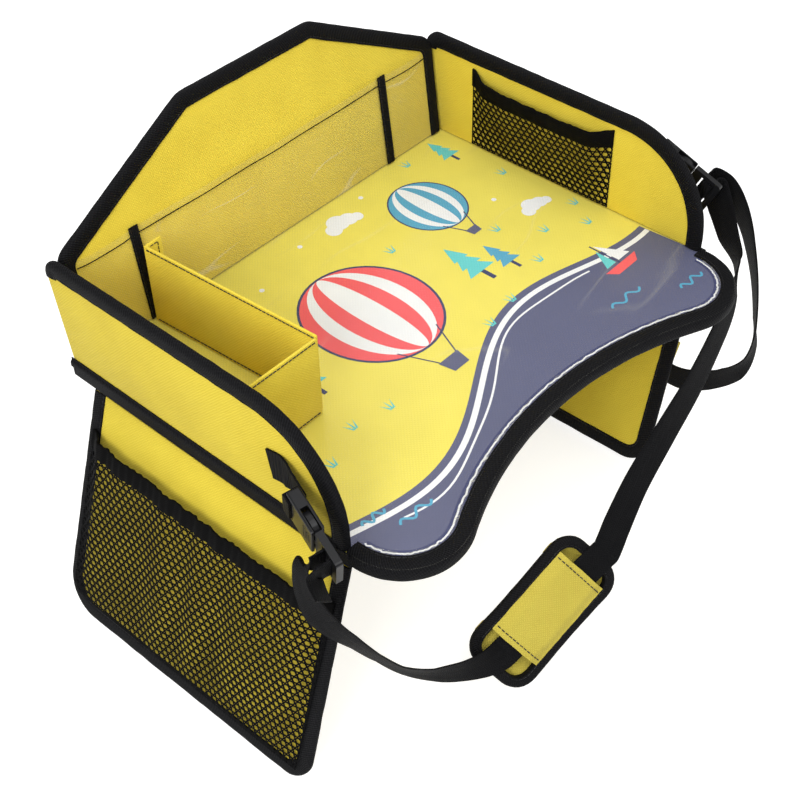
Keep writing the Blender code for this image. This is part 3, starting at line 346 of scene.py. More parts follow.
def shade_between(tree, skin, amount, dark, light):
    """Base colour from dark to light."""
    sources = (("Fac", amount), ("Color1", (*dark, 1)), ("Color2", (*light, 1)))
    mix = wire(tree, "ShaderNodeMixRGB", sources)
    tree.links.new(mix.outputs[0], skin.inputs["Base Color"])


def raise_bump(tree, skin, height, distance, strength=1.0, under=None):
    """Bump from a height, on top of an earlier bump."""
    sources = [("Height", height), ("Distance", distance), ("Strength", strength)]
    if under is not None:
        sources.append(("Normal", under.outputs[0]))
    bump = wire(tree, "ShaderNodeBump", sources)
    tree.links.new(bump.outputs[0], skin.inputs["Normal"])
    return bump


def scaled(colour, factor):
    """A colour made darker or lighter."""
    return tuple(min(part * factor, 1.0) for part in colour)


def woven_look(name, colour, roughness=0.82, pitch=None, depth=0.00027, waves=0.0031, sheen=0.12):
    """Plain-woven polyester with soft waves and a faint change of shade."""
    made, tree, skin = start_look(name, roughness)
    where = place_on(tree, True)
    pitch = pitch or sizes().weave
    warp = rows(tree, where, pitch, math.radians(45))
    weft = rows(tree, where, pitch, math.radians(-45))
    cloth = maths(tree, "MULTIPLY", warp, weft)
    patch = mottle(tree, place_on(tree, False), 26.0)
    fleck = mottle(tree, where, 900.0, 1.0)
    worn = maths(tree, "MULTIPLY_ADD", patch, 0.5)
    worn.node.inputs[2].default_value = 0.2
    both = maths(tree, "ADD", worn, maths(tree, "MULTIPLY", cloth, 0.48))
    mixed = maths(tree, "ADD", both, maths(tree, "MULTIPLY", fleck, 0.28))
    dark = (colour[0] * 0.72, colour[1] * 0.64, colour[2] * 0.38)
    shade_between(tree, skin, mixed, dark, scaled(colour, 1.10))
    swell = raise_bump(tree, skin, mottle(tree, place_on(tree, False), 17.0, 1.0), waves)
    raise_bump(tree, skin, cloth, depth, 0.9, swell)
    skin.inputs["Sheen Weight"].default_value = sheen
    skin.inputs["Sheen Roughness"].default_value = 0.4
    skin.inputs["Specular IOR Level"].default_value = 0.15 if sheen else 0.05
    return made


def tape_look():
    """Black edge tape with fine slanting ribs."""
    made, tree, skin = start_look("Ribbed edge tape", 0.62)
    where = place_on(tree, True)
    ribs = rows(tree, where, 0.0017, math.radians(28))
    cross = rows(tree, where, 0.0024, math.radians(-62))
    height = maths(tree, "ADD", ribs, maths(tree, "MULTIPLY", cross, 0.4))
    dust = mottle(tree, where, 700.0, 1.0)
    worn = maths(tree, "MULTIPLY", maths(tree, "ADD", height, dust), 0.5)
    base = colours().tape
    shade_between(tree, skin, worn, scaled(base, 0.50), scaled(base, 3.6))
    raise_bump(tree, skin, height, 0.00034)
    skin.inputs["Specular IOR Level"].default_value = 0.06
    return made


def webbing_look(name, surface):
    """Black webbing with crossing herringbone ribs and firmer edges."""
    made, tree, skin = start_look(name, 0.60)
    where = place_on(tree, surface)
    split = wire(tree, "ShaderNodeSeparateXYZ", ((0, where),))
    fold = maths(tree, "PINGPONG", split.outputs[1], WEB_W / 8)
    folded = wire(tree, "ShaderNodeCombineXYZ", ((0, split.outputs[0]), (1, fold)))
    ribs = rows(tree, folded.outputs[0], 0.0014, math.radians(40))
    picks = rows(tree, where, 0.0010)
    height = maths(tree, "ADD", ribs, maths(tree, "MULTIPLY", picks, 0.5))
    dust = mottle(tree, place_on(tree, False), 45.0)
    worn = maths(tree, "MULTIPLY", maths(tree, "ADD", height, dust), 0.45)
    base = colours().tape
    shade_between(tree, skin, worn, scaled(base, 0.50), scaled(base, 2.8))
    raise_bump(tree, skin, height, 0.00026)
    skin.inputs["Specular IOR Level"].default_value = 0.05
    return made


def plastic_look(name, colour, roughness=0.34):
    """Moulded acetal with a fine spark-eroded grain."""
    made, tree, skin = start_look(name, roughness)
    where = place_on(tree, False)
    grain = mottle(tree, where, 2600.0, 2.0)
    flow = mottle(tree, where, 90.0)
    shade_between(tree, skin, flow, scaled(colour, 0.7), scaled(colour, 1.4))
    raise_bump(tree, skin, grain, 0.00003)
    skin.inputs["Specular IOR Level"].default_value = 0.24
    return made


def thread_look(name, colour):
    """Twisted sewing thread."""
    made, tree, skin = start_look(name, 0.55)
    where = place_on(tree, False)
    twist = mottle(tree, where, 1800.0, 1.0)
    shade_between(tree, skin, twist, scaled(colour, 0.7), scaled(colour, 1.2))
    raise_bump(tree, skin, twist, 0.00005)
    return made


def net_look():
    """Knitted black net."""
    made, tree, skin = start_look("Knitted net", 0.70)
    where = place_on(tree, False)
    knit = mottle(tree, where, 1500.0, 2.0)
    base = colours().tape
    shade_between(tree, skin, knit, scaled(base, 0.5), scaled(base, 1.8))
    raise_bump(tree, skin, knit, 0.00018)
    skin.inputs["Specular IOR Level"].default_value = 0.04
    return made


def print_look(name, colour, gloss=0.16):
    """Printed cloth seen through its clear film: satin with small soft dents."""
    made, tree, skin = start_look(name, 0.46)
    where = place_on(tree, False)
    pitch = 0.0021
    one = rows(tree, where, pitch, math.radians(45))
    two = rows(tree, where, pitch, math.radians(-45))
    grid = maths(tree, "MULTIPLY", one, two)
    patch = mottle(tree, where, 40.0)
    mixed = maths(tree, "ADD", maths(tree, "MULTIPLY", grid, 0.4), maths(tree, "MULTIPLY", patch, 0.5))
    shade_between(tree, skin, mixed, scaled(colour, 0.82), scaled(colour, 1.08))
    swell = raise_bump(tree, skin, mottle(tree, where, 16.0, 1.0), 0.0016)
    raise_bump(tree, skin, grid, 0.00012, 0.8, swell)
    skin.inputs["Specular IOR Level"].default_value = 0.25
    skin.inputs["Coat Weight"].default_value = gloss
    skin.inputs["Coat Roughness"].default_value = 0.12
    return made


def film_look(name, body, streaks, scale, depth):
    """Clear soft film: seen through but for its shine, with narrow painted highlight streaks where it is creased."""
    made, tree, skin = start_look(name, 0.05)
    where = place_on(tree, False)
    long = wire(tree, "ShaderNodeMapping", (("Vector", where), ("Scale", (0.30, 1.0, 1.0))))
    crease_and_highlight_noise = mottle(tree, long.outputs[0], scale, 1.5)
    ridge = maths(tree, "ABSOLUTE", maths(tree, "SUBTRACT", crease_and_highlight_noise, 0.5))
    sources = (("Value", ridge), (1, 0.0), (2, 0.016), (3, streaks), (4, 0.0))
    thin = wire(tree, "ShaderNodeMapRange", sources).outputs[0]
    sources = (("Value", mottle(tree, where, scale * 0.6, 0.0)), (1, 0.50), (2, 0.66), (3, 0.0), (4, 1.0))
    zone = wire(tree, "ShaderNodeMapRange", sources).outputs[0]
    # Painted highlight: narrow streaks along the crease noise, made less clear in the alpha so they show as pale shine.
    shine = maths(tree, "MULTIPLY", thin, zone)
    seen = maths(tree, "ADD", shine, body)
    tree.links.new(seen, skin.inputs["Alpha"])
    # Base colour: the pale tint of the painted highlight streaks, following the crease noise.
    shade_between(tree, skin, crease_and_highlight_noise, (0.95, 0.92, 0.68), (0.99, 0.98, 0.88))
    raise_bump(tree, skin, crease_and_highlight_noise, depth)
    skin.inputs["IOR"].default_value = 1.50
    return made


LOOKS = {}


def make_looks():
    """Every finish of the tray."""
    tint = colours()
    LOOKS["cloth"] = woven_look("Yellow woven cloth", tint.cloth)
    # The pad's cloth is the panels' woven cloth in a darker yellow: painted shade.
    LOOKS["pad cloth"] = woven_look("Yellow pad cloth", tint.pad)
    LOOKS["lining"] = woven_look("Yellow lining cloth", scaled(tint.cloth, 0.92))
    LOOKS["foam"] = woven_look("Foam cloth", scaled(tint.cloth, 0.90), 0.9)
    LOOKS["tape"] = tape_look()
    LOOKS["webbing"] = webbing_look("Herringbone webbing", True)
    LOOKS["webbing node"] = webbing_look("Buckle webbing", False)
    LOOKS["plastic"] = plastic_look("Black moulded plastic", (0.007, 0.007, 0.008), 0.28)
    LOOKS["net"] = net_look()
    LOOKS["elastic"] = woven_look("Black elastic", tint.tape, 0.75, 0.0014, 0.00025, 0.0004, 0.0)
    LOOKS["black thread"] = thread_look("Black thread", (0.012, 0.012, 0.013))
    LOOKS["yellow thread"] = thread_look("Yellow thread", scaled(tint.cloth, 0.85))
    # The three films carry painted highlight streaks: faint on the tray, stronger on the pocket, strongest on the lip.
    LOOKS["film"] = film_look("Clear tray film", 0.020, 0.035, 18.0, 0.0010)
    LOOKS["pocket film"] = film_look("Clear pocket film", 0.035, 0.17, 24.0, 0.0028)
    LOOKS["film lip"] = film_look("Film lip", 0.05, 0.55, 150.0, 0.0010)
    LOOKS["ground"] = print_look("Print ground", tint.ground)
    LOOKS["slate"] = print_look("Print slate", tint.slate)
    LOOKS["coral"] = print_look("Print coral", tint.coral)
    LOOKS["blue"] = print_look("Print blue", tint.blue)
    LOOKS["teal"] = print_look("Print teal", tint.teal)
    LOOKS["white"] = print_look("Print white", (0.86, 0.87, 0.88))
    LOOKS["navy"] = print_look("Print navy", (0.018, 0.026, 0.120))


# Mesh tools

def frame_at(point, along, across):
    """A frame at point with X along, Y near across and Z square to both."""
    x_axis = Vector(along).normalized()
    y_axis = Vector(across)
    y_axis = (y_axis - x_axis * y_axis.dot(x_axis)).normalized()
    z_axis = x_axis.cross(y_axis)
    turned = Matrix((x_axis, y_axis, z_axis)).transposed().to_4x4()
    return Matrix.Translation(Vector(point)) @ turned


def lay_uv(bm):
    """Give each face a UV in metres from the side it faces."""
    bm.normal_update()
    layer = bm.loops.layers.uv.verify()
    for face in bm.faces:
        facing = [abs(part) for part in face.normal]
        skip = facing.index(max(facing))
        first, second = [k for k in range(3) if k != skip]
        for loop in face.loops:
            loop[layer].uv = (loop.vert.co[first], loop.vert.co[second])


def piece(name, bm, looks, body=None, place=None, hides=(), sharp=35, keep_uv=False):
    """Turn a bmesh into a finished piece that rides on its body."""
    bmesh.ops.recalc_face_normals(bm, faces=bm.faces)
    if not keep_uv:
        lay_uv(bm)
    mesh = bpy.data.meshes.new(name)
    bm.to_mesh(mesh)
    bm.free()
    if place is not None:
        mesh.transform(place)
    for look in looks if isinstance(looks, (list, tuple)) else (looks,):
        mesh.materials.append(LOOKS[look])
    mesh.shade_smooth()
    mesh.set_sharp_from_angle(angle=math.radians(sharp))
    made = bpy.data.objects.new(name, mesh)
    bpy.context.scene.collection.objects.link(made)
    if body is not None:
        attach(made, body)
    if hides:
        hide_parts(*hides)
    return made


def plate(outline, low, high, soft=0.0006):
    """A plate: a face on the outline, extruded, with its rims rounded."""
    bm = bmesh.new()
    face = bm.faces.new([bm.verts.new((x, y, low)) for x, y in outline])
    grown = bmesh.ops.extrude_face_region(bm, geom=[face], use_keep_orig=True)
    lifted = [item for item in grown["geom"] if isinstance(item, bmesh.types.BMVert)]
    bmesh.ops.translate(bm, vec=(0, 0, high - low), verts=lifted)
    if soft > 0:
        bmesh.ops.recalc_face_normals(bm, faces=bm.faces)
        rims = [edge for edge in bm.edges if edge.calc_face_angle(0) > 1.2]
        round_off(bm, rims, soft)
    return bm


def round_off(bm, edges, width, segments=2):
    """Bevel some edges."""
    bmesh.ops.bevel(
        bm,
        geom=edges,
        offset=width,
        offset_type="OFFSET",
        affect="EDGES",
        segments=segments,
        profile=0.5,
        material=-1,
    )


def slab(size, centre, soft=0.0006, segments=2):
    """A block with rounded edges."""
    bm = bmesh.new()
    scale = Matrix.Diagonal((*size, 1))
    bmesh.ops.create_cube(bm, size=1, matrix=Matrix.Translation(Vector(centre)) @ scale)
    if soft > 0:
        round_off(bm, bm.edges[:], soft, segments)
    return bm


def fillet(corners, radii, steps=12):
    """Round the corners of an outline: each corner gets an arc of its own radius."""
    rounded = []
    count = len(corners)
    for i, corner in enumerate(corners):
        here = Vector(corner)
        radius = radii[i]
        if radius <= 0:
            rounded.append(tuple(here))
            continue
        before = (Vector(corners[i - 1]) - here).normalized()
        after = (Vector(corners[(i + 1) % count]) - here).normalized()
        half = before.angle(after) / 2
        centre = here + (before + after).normalized() * (radius / math.sin(half))
        start = here + before * (radius / math.tan(half)) - centre
        end = here + after * (radius / math.tan(half)) - centre
        turn = math.atan2(start.x * end.y - start.y * end.x, start.dot(end))
        for k in range(steps + 1):
            rounded.append(tuple(centre + Matrix.Rotation(turn * k / steps, 2) @ start))
    return rounded


def evenly(path, spacing, closed=False):
    """The same path with points at an even spacing, corners kept."""
    dense = []
    points = [Vector(point) for point in path]
    if closed:
        points.append(points[0])
    for here, there in zip(points, points[1:]):
        parts = max(1, round((there - here).length / spacing))
        dense += [here.lerp(there, k / parts) for k in range(parts)]
    return dense if closed else dense + [points[-1]]


def sweep(section, frames, closed=False, capped=True):
    """Extrude a closed section through a row of frames, with a UV along and round it."""
    bm = bmesh.new()
    along = bm.verts.layers.float.new("along")
    across = bm.verts.layers.float.new("across")
    ring = [bm.verts.new(frames[0] @ Vector((x, y, 0))) for x, y in section]
    girth = 0.0
    for here, there in zip(section, section[1:] + section[:1]):
        ring[section.index(here)][across] = girth
        girth += (Vector(there) - Vector(here)).length
    edges = [bm.edges.new((a, b)) for a, b in zip(ring, ring[1:] + ring[:1])]
    reach = 0.0
    row = list(frames[1:]) + ([frames[0]] if closed else [])
    before = frames[0]
    for place in row:
        reach += (place.translation - before.translation).length
        grown = bmesh.ops.extrude_edge_only(bm, edges=edges)["geom"]
        moved = [item for item in grown if isinstance(item, bmesh.types.BMVert)]
        edges = [item for item in grown if isinstance(item, bmesh.types.BMEdge) and item.is_boundary]
        bmesh.ops.transform(bm, matrix=place @ before.inverted(), verts=moved)
        for vert in moved:
            vert[along] = reach
        before = place
    layer = bm.loops.layers.uv.verify()
    for face in bm.faces:
        spans = [loop.vert[across] for loop in face.loops]
        wrap = max(spans) - min(spans) > girth / 2
        for loop in face.loops:
            v = loop.vert[across]
            loop[layer].uv = (loop.vert[along], v + girth if wrap and v < girth / 2 else v)
    if closed:
        bmesh.ops.remove_doubles(bm, verts=bm.verts, dist=1e-7)
    elif capped:
        bmesh.ops.holes_fill(bm, edges=bm.edges, sides=0)
    return bm


def edge_frames(path, closed=False):
    """Frames along a flat path: X outward on its right, Y along local Z."""
    frames = []
    count = len(path)
    for i, spot in enumerate(path):
        before = path[i] - path[i - 1]
        after = path[(i + 1) % count] - path[i]
        if not closed and i == 0:
            before = after
        if not closed and i == count - 1:
            after = before
        one = Vector((before.y, -before.x)).normalized()
        two = Vector((after.y, -after.x)).normalized()
        out = (one + two).normalized()
        out = out / max(out.dot(one), 0.6)
        heading = Vector((-out.y, out.x, 0)).normalized()
        columns = (Vector((out.x, out.y, 0)), Vector((0, 0, 1)), -heading)
        turned = Matrix(columns).transposed().to_4x4()
        frames.append(Matrix.Translation((spot.x, spot.y, 0)) @ turned)
    return frames


def tape_section(low, high, leg, proud):
    """Folded tape seen end-on: rounded over the edge, pressed down along its stitch line."""
    middle = (low + high) / 2
    half = (high - low) / 2
    rise = half + proud
    side = [
        (-leg, half + 0.00030),
        (-leg + 0.0003, half + 0.75 * proud),
        (-leg + 0.0012, half + 0.80 * proud),
        (-leg + 0.0018, half + 0.55 * proud),
        (-leg + 0.0024, half + 0.85 * proud),
        (-leg + 0.0036, rise),
    ]
    back = min(2.0 * half, 0.4 * leg)
    for k in range(9):
        angle = math.pi / 2 * (1 - k / 8)
        power = 0.75
        x = (back + 1.1 * proud) * math.cos(angle) ** power - back
        side.append((x, rise * math.sin(angle) ** power))
    lower = [(x, -y) for x, y in side[-2::-1]]
    return [(x, y + middle) for x, y in side + lower]


def ruffle(bm, amount, scale, seed=0.0):
    """Move points a little with smooth noise, as sewn tape puckers."""
    for vert in bm.verts:
        vert.co += noise.noise_vector(vert.co * scale + Vector((seed, seed, seed))) * amount


def bind_edge(name, path, low, high, body, place, hides, closed=False, leg=None):
    """Edge tape along a flat path, with its two rows of stitches."""
    leg = leg or sizes().tape_leg
    dense = evenly(path, 0.004, closed)
    frames = edge_frames(dense, closed)
    section = tape_section(low, high, leg, sizes().tape_proud)
    bm = sweep(section, frames, closed)
    ruffle(bm, 0.00030, 90.0, len(name))
    made = piece(name, bm, "tape", body, place, hides, 40, True)
    rows_of = []
    for level in (low - 0.55 * sizes().tape_proud, high + 0.55 * sizes().tape_proud):
        shift = Matrix.Translation((-leg + 0.0018, level, 0))
        rows_of.append([(item @ shift).translation for item in frames])
    sew(f"{name}_stitches", rows_of, "black thread", body, place, closed)
    return made


def sew(name, runs, look, body, place=None, closed=False, thick=0.00042, blend=None):
    """Rows of short stitches along paths."""
    bm = bmesh.new()
    pitch = sizes().stitch
    spots = []
    for run in runs:
        points = list(run) + ([run[0]] if closed else [])
        total = sum((b - a).length for a, b in zip(points, points[1:]))
        count = max(1, int(total / pitch))
        spots += _stations(points, total / count, count)
    for spot, heading in spots:
        turned = heading.to_track_quat("Z", "Y").to_matrix().to_4x4()
        bmesh.ops.create_cone(
            bm,
            cap_ends=True,
            segments=5,
            radius1=thick / 2,
            radius2=thick / 2,
            depth=pitch * 0.78,
            matrix=Matrix.Translation(spot) @ turned,
        )
    made = piece(name, bm, look, body, place, (), 60)
    return made


def _stations(points, step, count):
    """Evenly spaced places and headings along a path."""
    found = []
    target = step / 2
    walked = 0.0
    for here, there in zip(points, points[1:]):
        length = (there - here).length
        while length > 0 and target <= walked + length and len(found) < count:
            share = (target - walked) / length
            found.append((here.lerp(there, share), (there - here).normalized()))
            target += step
        walked += length
    return found


# Outlines

def front_edge(steps=28):
    """The tray's front cut edge from left to right: lobe, belly arc, lobe."""
    lobe = Vector((TRAY_HALF - LOBE_R, LOBE_Y))
    rise = LOBE_Y - BELLY_Y
    radius = (lobe.x ** 2 + rise ** 2 - LOBE_R ** 2) / (2 * (LOBE_R - rise))
    centre = Vector((0, BELLY_Y - radius))
    meet = math.atan2(centre.y - lobe.y, centre.x - lobe.x)
    right = []
    for k in range(steps + 1):
        angle = (meet + 2 * math.pi) * k / steps if meet > 0 else meet * k / steps
        right.append((lobe.x + LOBE_R * math.cos(angle), lobe.y + LOBE_R * math.sin(angle)))
    start = math.atan2(lobe.y - centre.y, lobe.x - centre.x)
    for k in range(1, steps + 1):
        angle = start + (math.pi / 2 - start) * k / steps
        right.append((radius * math.cos(angle), centre.y + radius * math.sin(angle)))
    return [(-x, y) for x, y in right[:-1]] + right[::-1]


def tray_outline():
    """The cut edge of the tray's layers."""
    return front_edge() + [(TRAY_HALF, TRAY_REAR), (-TRAY_HALF, TRAY_REAR)]


def wall_edge(steps=24):
    """A side wall's taped edge in (Y, Z), from the front foot to the rear top corner."""
    span = WALL_CURVE_Y - WALL_FRONT_Y
    rise = WALL_TOP - WALL_STRAIGHT
    points = [(WALL_FRONT_Y, WALL_BASE), (WALL_FRONT_Y, WALL_BASE + WALL_STRAIGHT)]
    for k in range(1, steps + 1):
        angle = math.pi / 2 * k / steps
        y = WALL_CURVE_Y - span * math.cos(angle)
        points.append((y, WALL_BASE + WALL_STRAIGHT + rise * math.sin(angle)))
    top = WALL_BASE + WALL_TOP
    corners = ((WALL_CURVE_Y, top), (WALL_REAR_TOP_Y, top), (WALL_REAR_Y, WALL_BASE))
    return points + fillet(corners, (0, 0.012, 0))[1:-1]


def rear_edge():
    """The rear wall's taped edge in its own plane, from its right foot."""
    corners = (
        (REAR_HALF, 0),
        (REAR_HALF, REAR_SIDE_H),
        (REAR_TOP_HALF, REAR_TOP_H),
        (-REAR_TOP_HALF, REAR_TOP_H),
        (-REAR_HALF, REAR_SIDE_H),
        (-REAR_HALF, 0),
    )
    return fillet(corners, (0, 0.018, 0.018, 0.018, 0.018, 0))


def side_place():
    """Turns local X to world Y, local Y to world Z and local Z to world X."""
    return Matrix(((0, 0, 1), (1, 0, 0), (0, 1, 0))).to_4x4()


def rear_place():
    """The rear wall's frame: X across, Y up the leaning wall, Z toward the tray."""
    return Matrix.Translation(REAR_PIVOT) @ Matrix.Rotation(math.pi / 2 - REAR_LEAN, 4, "X")


def flap_place(side, splay):
    """A flap's frame on its hinge: X to the rear, Y up the flap, Z to world +X."""
    up = Vector((-side * math.sin(splay), 0, math.cos(splay)))
    return frame_at((side * FLAP_X, 0, FLAP_Z), Vector((0, 1, 0)), up)


def pad_place():
    """The pad's frame: X along the strap, Z out of its face."""
    face = Vector(PAD_FACE)
    along = Vector(PAD_ALONG)
    return frame_at(PAD_CENTRE, along, face.cross(along))


# Strap

def smooth_route(route, steps):
    """Places, width directions and headings of a smooth curve through a route."""
    places = [Vector(point) for point, width in route]
    widths = [Vector(width).normalized() for point, width in route]
    last = len(route) - 1
    samples = []
    for i in range(last):
        for k in range(steps):
            samples.append(_between(places, widths, i, k / steps))
    samples.append((places[last], widths[last], _heading(places, last)))
    return samples


def _heading(places, i):
    """Direction of a route at one of its points."""
    ahead = places[min(i + 1, len(places) - 1)]
    behind = places[max(i - 1, 0)]
    return (ahead - behind).normalized()


def _between(places, widths, i, t):
    """One point of the curve, its width direction and its heading."""
    start = places[i]
    end = places[i + 1]
    span = (end - start).length
    swing = 3 * t ** 2 - 2 * t ** 3
    leave = _heading(places, i) * span
    arrive = _heading(places, i + 1) * span
    spot = start.lerp(end, swing) + leave * (t ** 3 - 2 * t ** 2 + t) + arrive * (t ** 3 - t ** 2)
    along = (end - start) * (6 * t - 6 * t ** 2)
    along += leave * (3 * t ** 2 - 4 * t + 1) + arrive * (3 * t ** 2 - 2 * t)
    return spot, widths[i].lerp(widths[i + 1], t).normalized(), along.normalized()


def web_section():
    """Webbing seen end-on, with rounded selvedges."""
    half_w = WEB_W / 2
    half_t = WEB_T / 2
    right = []
    for k in range(5):
        angle = math.pi / 2 * (1 - 2 * k / 4)
        right.append((half_w - half_t + half_t * math.cos(angle), half_t * math.sin(angle)))
    top = [(x * WEB_W / 2, half_t) for x in (-0.5, 0.0, 0.5)]
    bottom = [(x * WEB_W / 2, -half_t) for x in (0.5, 0.0, -0.5)]
    left = [(-x, y) for x, y in right[::-1]]
    return top + right + bottom + left


def web_frames(samples):
    """Frames whose X is the webbing's width and whose Y is its face."""
    frames = []
    for spot, width, along in samples:
        side = (width - along * width.dot(along)).normalized()
        face = along.cross(side)
        turned = Matrix((side, face, side.cross(face))).transposed().to_4x4()
        frames.append(Matrix.Translation(spot) @ turned)
    return frames


def web_end(place, slot):
    """Two route points that lead straight away from one end of the threaded webbing."""
    width = place.to_3x3() @ Vector((0, 1, 0))
    if width.z < 0:
        width = -width
    x = LADDER_SLOTS[slot]
    start = place @ Vector((x, 0, WRAP_DEPTH - 0.0002))
    return (start, width), (place @ Vector((x, 0, WRAP_DEPTH + 0.004)), width)


def pad_points():
    """Route points of the straight stretch over the pad."""
    pad = pad_place()
    slant = 0.078
    across = pad.to_3x3() @ Vector((slant, 1, 0))
    points = []
    for spot in (-0.041, -0.037, 0.012, 0.061, 0.065):
        aside = (0.012 - spot) * slant
        points.append((pad @ Vector((spot, aside, 0.0023)), across))
    return tuple(points)


def web_piece(name, samples, hides, body=None):
    """A stretch of webbing and its centreline."""
    bm = sweep(web_section(), web_frames(samples))
    made = piece(name, bm, "webbing", body, None, hides, 40, True)
    return made, [tuple(spot) for spot, width, along in samples]


class TRAY_OT_strap(bpy.types.Operator):
    """Webbing from the left buckle through the pad to the right buckle, with both ends"""

    bl_idname = "tray.strap"
    bl_label = "Strap"

    def execute(self, context):
        left = frame_at(*LEFT_BUCKLE)
        right = frame_at(*RIGHT_BUCKLE)
        route = web_end(left, 0) + LEFT_ROUTE + pad_points() + RIGHT_ROUTE + web_end(right, 1)[::-1]
        samples = smooth_route(route, ROUTE_STEPS)
        to_pad = (len(LEFT_ROUTE) + 3) * ROUTE_STEPS
        from_pad = to_pad + 2 * ROUTE_STEPS
        lead = LEFT_LEAD_POINTS * ROUTE_STEPS
        to_lead = (len(route) - 2 - RIGHT_LEAD_POINTS) * ROUTE_STEPS
        first, lead_path = web_piece("left_lead_webbing", samples[: lead + 1], ("strap_left_lead",))
        run, run_path = web_piece("left_run_webbing", samples[lead : to_pad + 1], ("strap_left_run",))
        web_piece("pad_webbing", samples[to_pad : from_pad + 1], ("strap_through_pad",), "tray")
        back = samples[from_pad : to_lead + 1]
        right_run, right_path = web_piece("right_run_webbing", back, ("strap_right_run",))
        last, last_path = web_piece("right_lead_webbing", samples[to_lead:], ("strap_right_lead",))
        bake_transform(first)
        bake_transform(run)
        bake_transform(right_run)
        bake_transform(last)
        self.declare(run, run_path, [first])
        self.declare(right_run, right_path, [last])
        self.ends(left, right)
        return {"FINISHED"}

    def declare(self, made, path, extra):
        """Leave one free stretch as it is."""

    def ends(self, left, right):
        """The short sewn end on the left and the long loose tail on the right."""
        route = web_end(left, 1) + LEFT_END_ROUTE
        web_piece("left_end_webbing", smooth_route(route, 8), ("strap_left_end",), "left_plug")
        route = web_end(right, 0) + RIGHT_TAIL_ROUTE
        samples = smooth_route(route, 8)
        tail, path = web_piece("right_tail_webbing", samples, ("strap_right_tail",), "right_plug")


# Tray

def disc(bm, centre, size, level, index, turn=0.0, segments=48):
    """A flat printed ellipse."""
    place = Matrix.Translation((centre[0], centre[1], print_level(level)))
    shape = Matrix.Rotation(turn, 4, "Z") @ Matrix.Diagonal((size[0], size[1], 1, 1))
    made = bmesh.ops.create_circle(bm, cap_ends=True, segments=segments, radius=1, matrix=place @ shape)
    for face in {face for vert in made["verts"] for face in vert.link_faces}:
        face.material_index = index


def patch(bm, points, level, index):
    """A flat printed shape."""
    height = print_level(level)
    face = bm.faces.new([bm.verts.new((x, y, height)) for x, y in points])
    face.material_index = index


def print_level(level):
    """Height of one layer of ink."""
    return PRINT_TOP + 0.00002 + 0.00002 * level


def stroke(bm, points, width, level, index):
    """A printed line of even width."""
    line = [Vector(point) for point in points]
    left = []
    right = []
    for i, spot in enumerate(line):
        ahead = line[min(i + 1, len(line) - 1)] - line[max(i - 1, 0)]
        side = Vector((-ahead.y, ahead.x)).normalized() * width / 2
        left.append(tuple(spot + side))
        right.append(tuple(spot - side))
    patch(bm, left + right[::-1], level, index)


def cloud(bm, centre, size, level):
    """A cloud of four overlapping discs on a flat foot."""
    for dx, dy, radius in ((-0.9, 0, 0.55), (-0.2, 0.35, 0.75), (0.55, 0.15, 0.6), (1.1, -0.08, 0.42)):
        disc(bm, (centre[0] + dx * size, centre[1] + dy * size), (radius * size, radius * size), level, 5)
        level += 1


def balloon(bm, centre, size, tone, level):
    """A striped hot-air balloon with its basket."""
    x, y = centre
    disc(bm, centre, (size * 1.04, size * 1.14), level, 6)
    for k, (share, ink) in enumerate(((1.0, tone), (0.74, 5), (0.50, tone), (0.22, 5))):
        disc(bm, centre, (size * share, size * 1.1), level + 1 + k, ink)
    neck = y - size * 1.05
    foot = neck - size * 0.42
    for sign in (-1, 1):
        ropes = ((x + sign * size * 0.42, neck + size * 0.16), (x + sign * size * 0.17, foot))
        stroke(bm, ropes, 0.0011, level + 5, 6)
    basket = (
        (x - size * 0.20, foot),
        (x + size * 0.20, foot),
        (x + size * 0.15, foot - size * 0.27),
        (x - size * 0.15, foot - size * 0.27),
    )
    patch(bm, basket, level + 6, 1)


def sail_boat(bm, centre, size, level):
    """A small boat with two sails."""
    x, y = centre
    hull = ((x - size, y), (x + size, y), (x + size * 0.6, y - size * 0.42), (x - size * 0.65, y - size * 0.42))
    patch(bm, hull, level, 2)
    stroke(bm, ((x, y), (x, y + size * 1.6)), 0.0014, level + 1, 6)
    patch(bm, ((x + size * 0.1, y + size * 0.15), (x + size * 0.85, y + size * 0.15), (x + size * 0.1, y + size * 1.5)), level + 1, 5)
    patch(bm, ((x - size * 0.1, y + size * 0.15), (x - size * 0.1, y + size * 1.2), (x - size * 0.7, y + size * 0.15)), level + 1, 4)


def fir(bm, centre, size, tone, level):
    """A small tree of three triangles."""
    x, y = centre
    stroke(bm, ((x, y - size * 0.5), (x, y + size * 0.2)), size * 0.16, level, 6)
    for k in range(3):
        half = size * (0.55 - 0.12 * k)
        foot = y + size * 0.42 * k
        patch(bm, ((x - half, foot), (x + half, foot), (x, foot + size * 0.72)), level + 1 + k, tone)


def tuft(bm, centre, size, level, tone=4):
    """Three short blades of grass."""
    x, y = centre
    for lean in (-0.5, 0.0, 0.5):
        tip = (x + lean * size, y + size * (1.0 - 0.3 * abs(lean)))
        foot = (x + lean * size * 0.25, y)
        patch(bm, ((foot[0] - size * 0.09, foot[1]), (foot[0] + size * 0.09, foot[1]), tip), level, tone)


def shore(x):
    """Rear edge of the printed water."""
    return -0.072 + 0.022 * math.sin(x * 20 + 0.6) + 0.16 * x


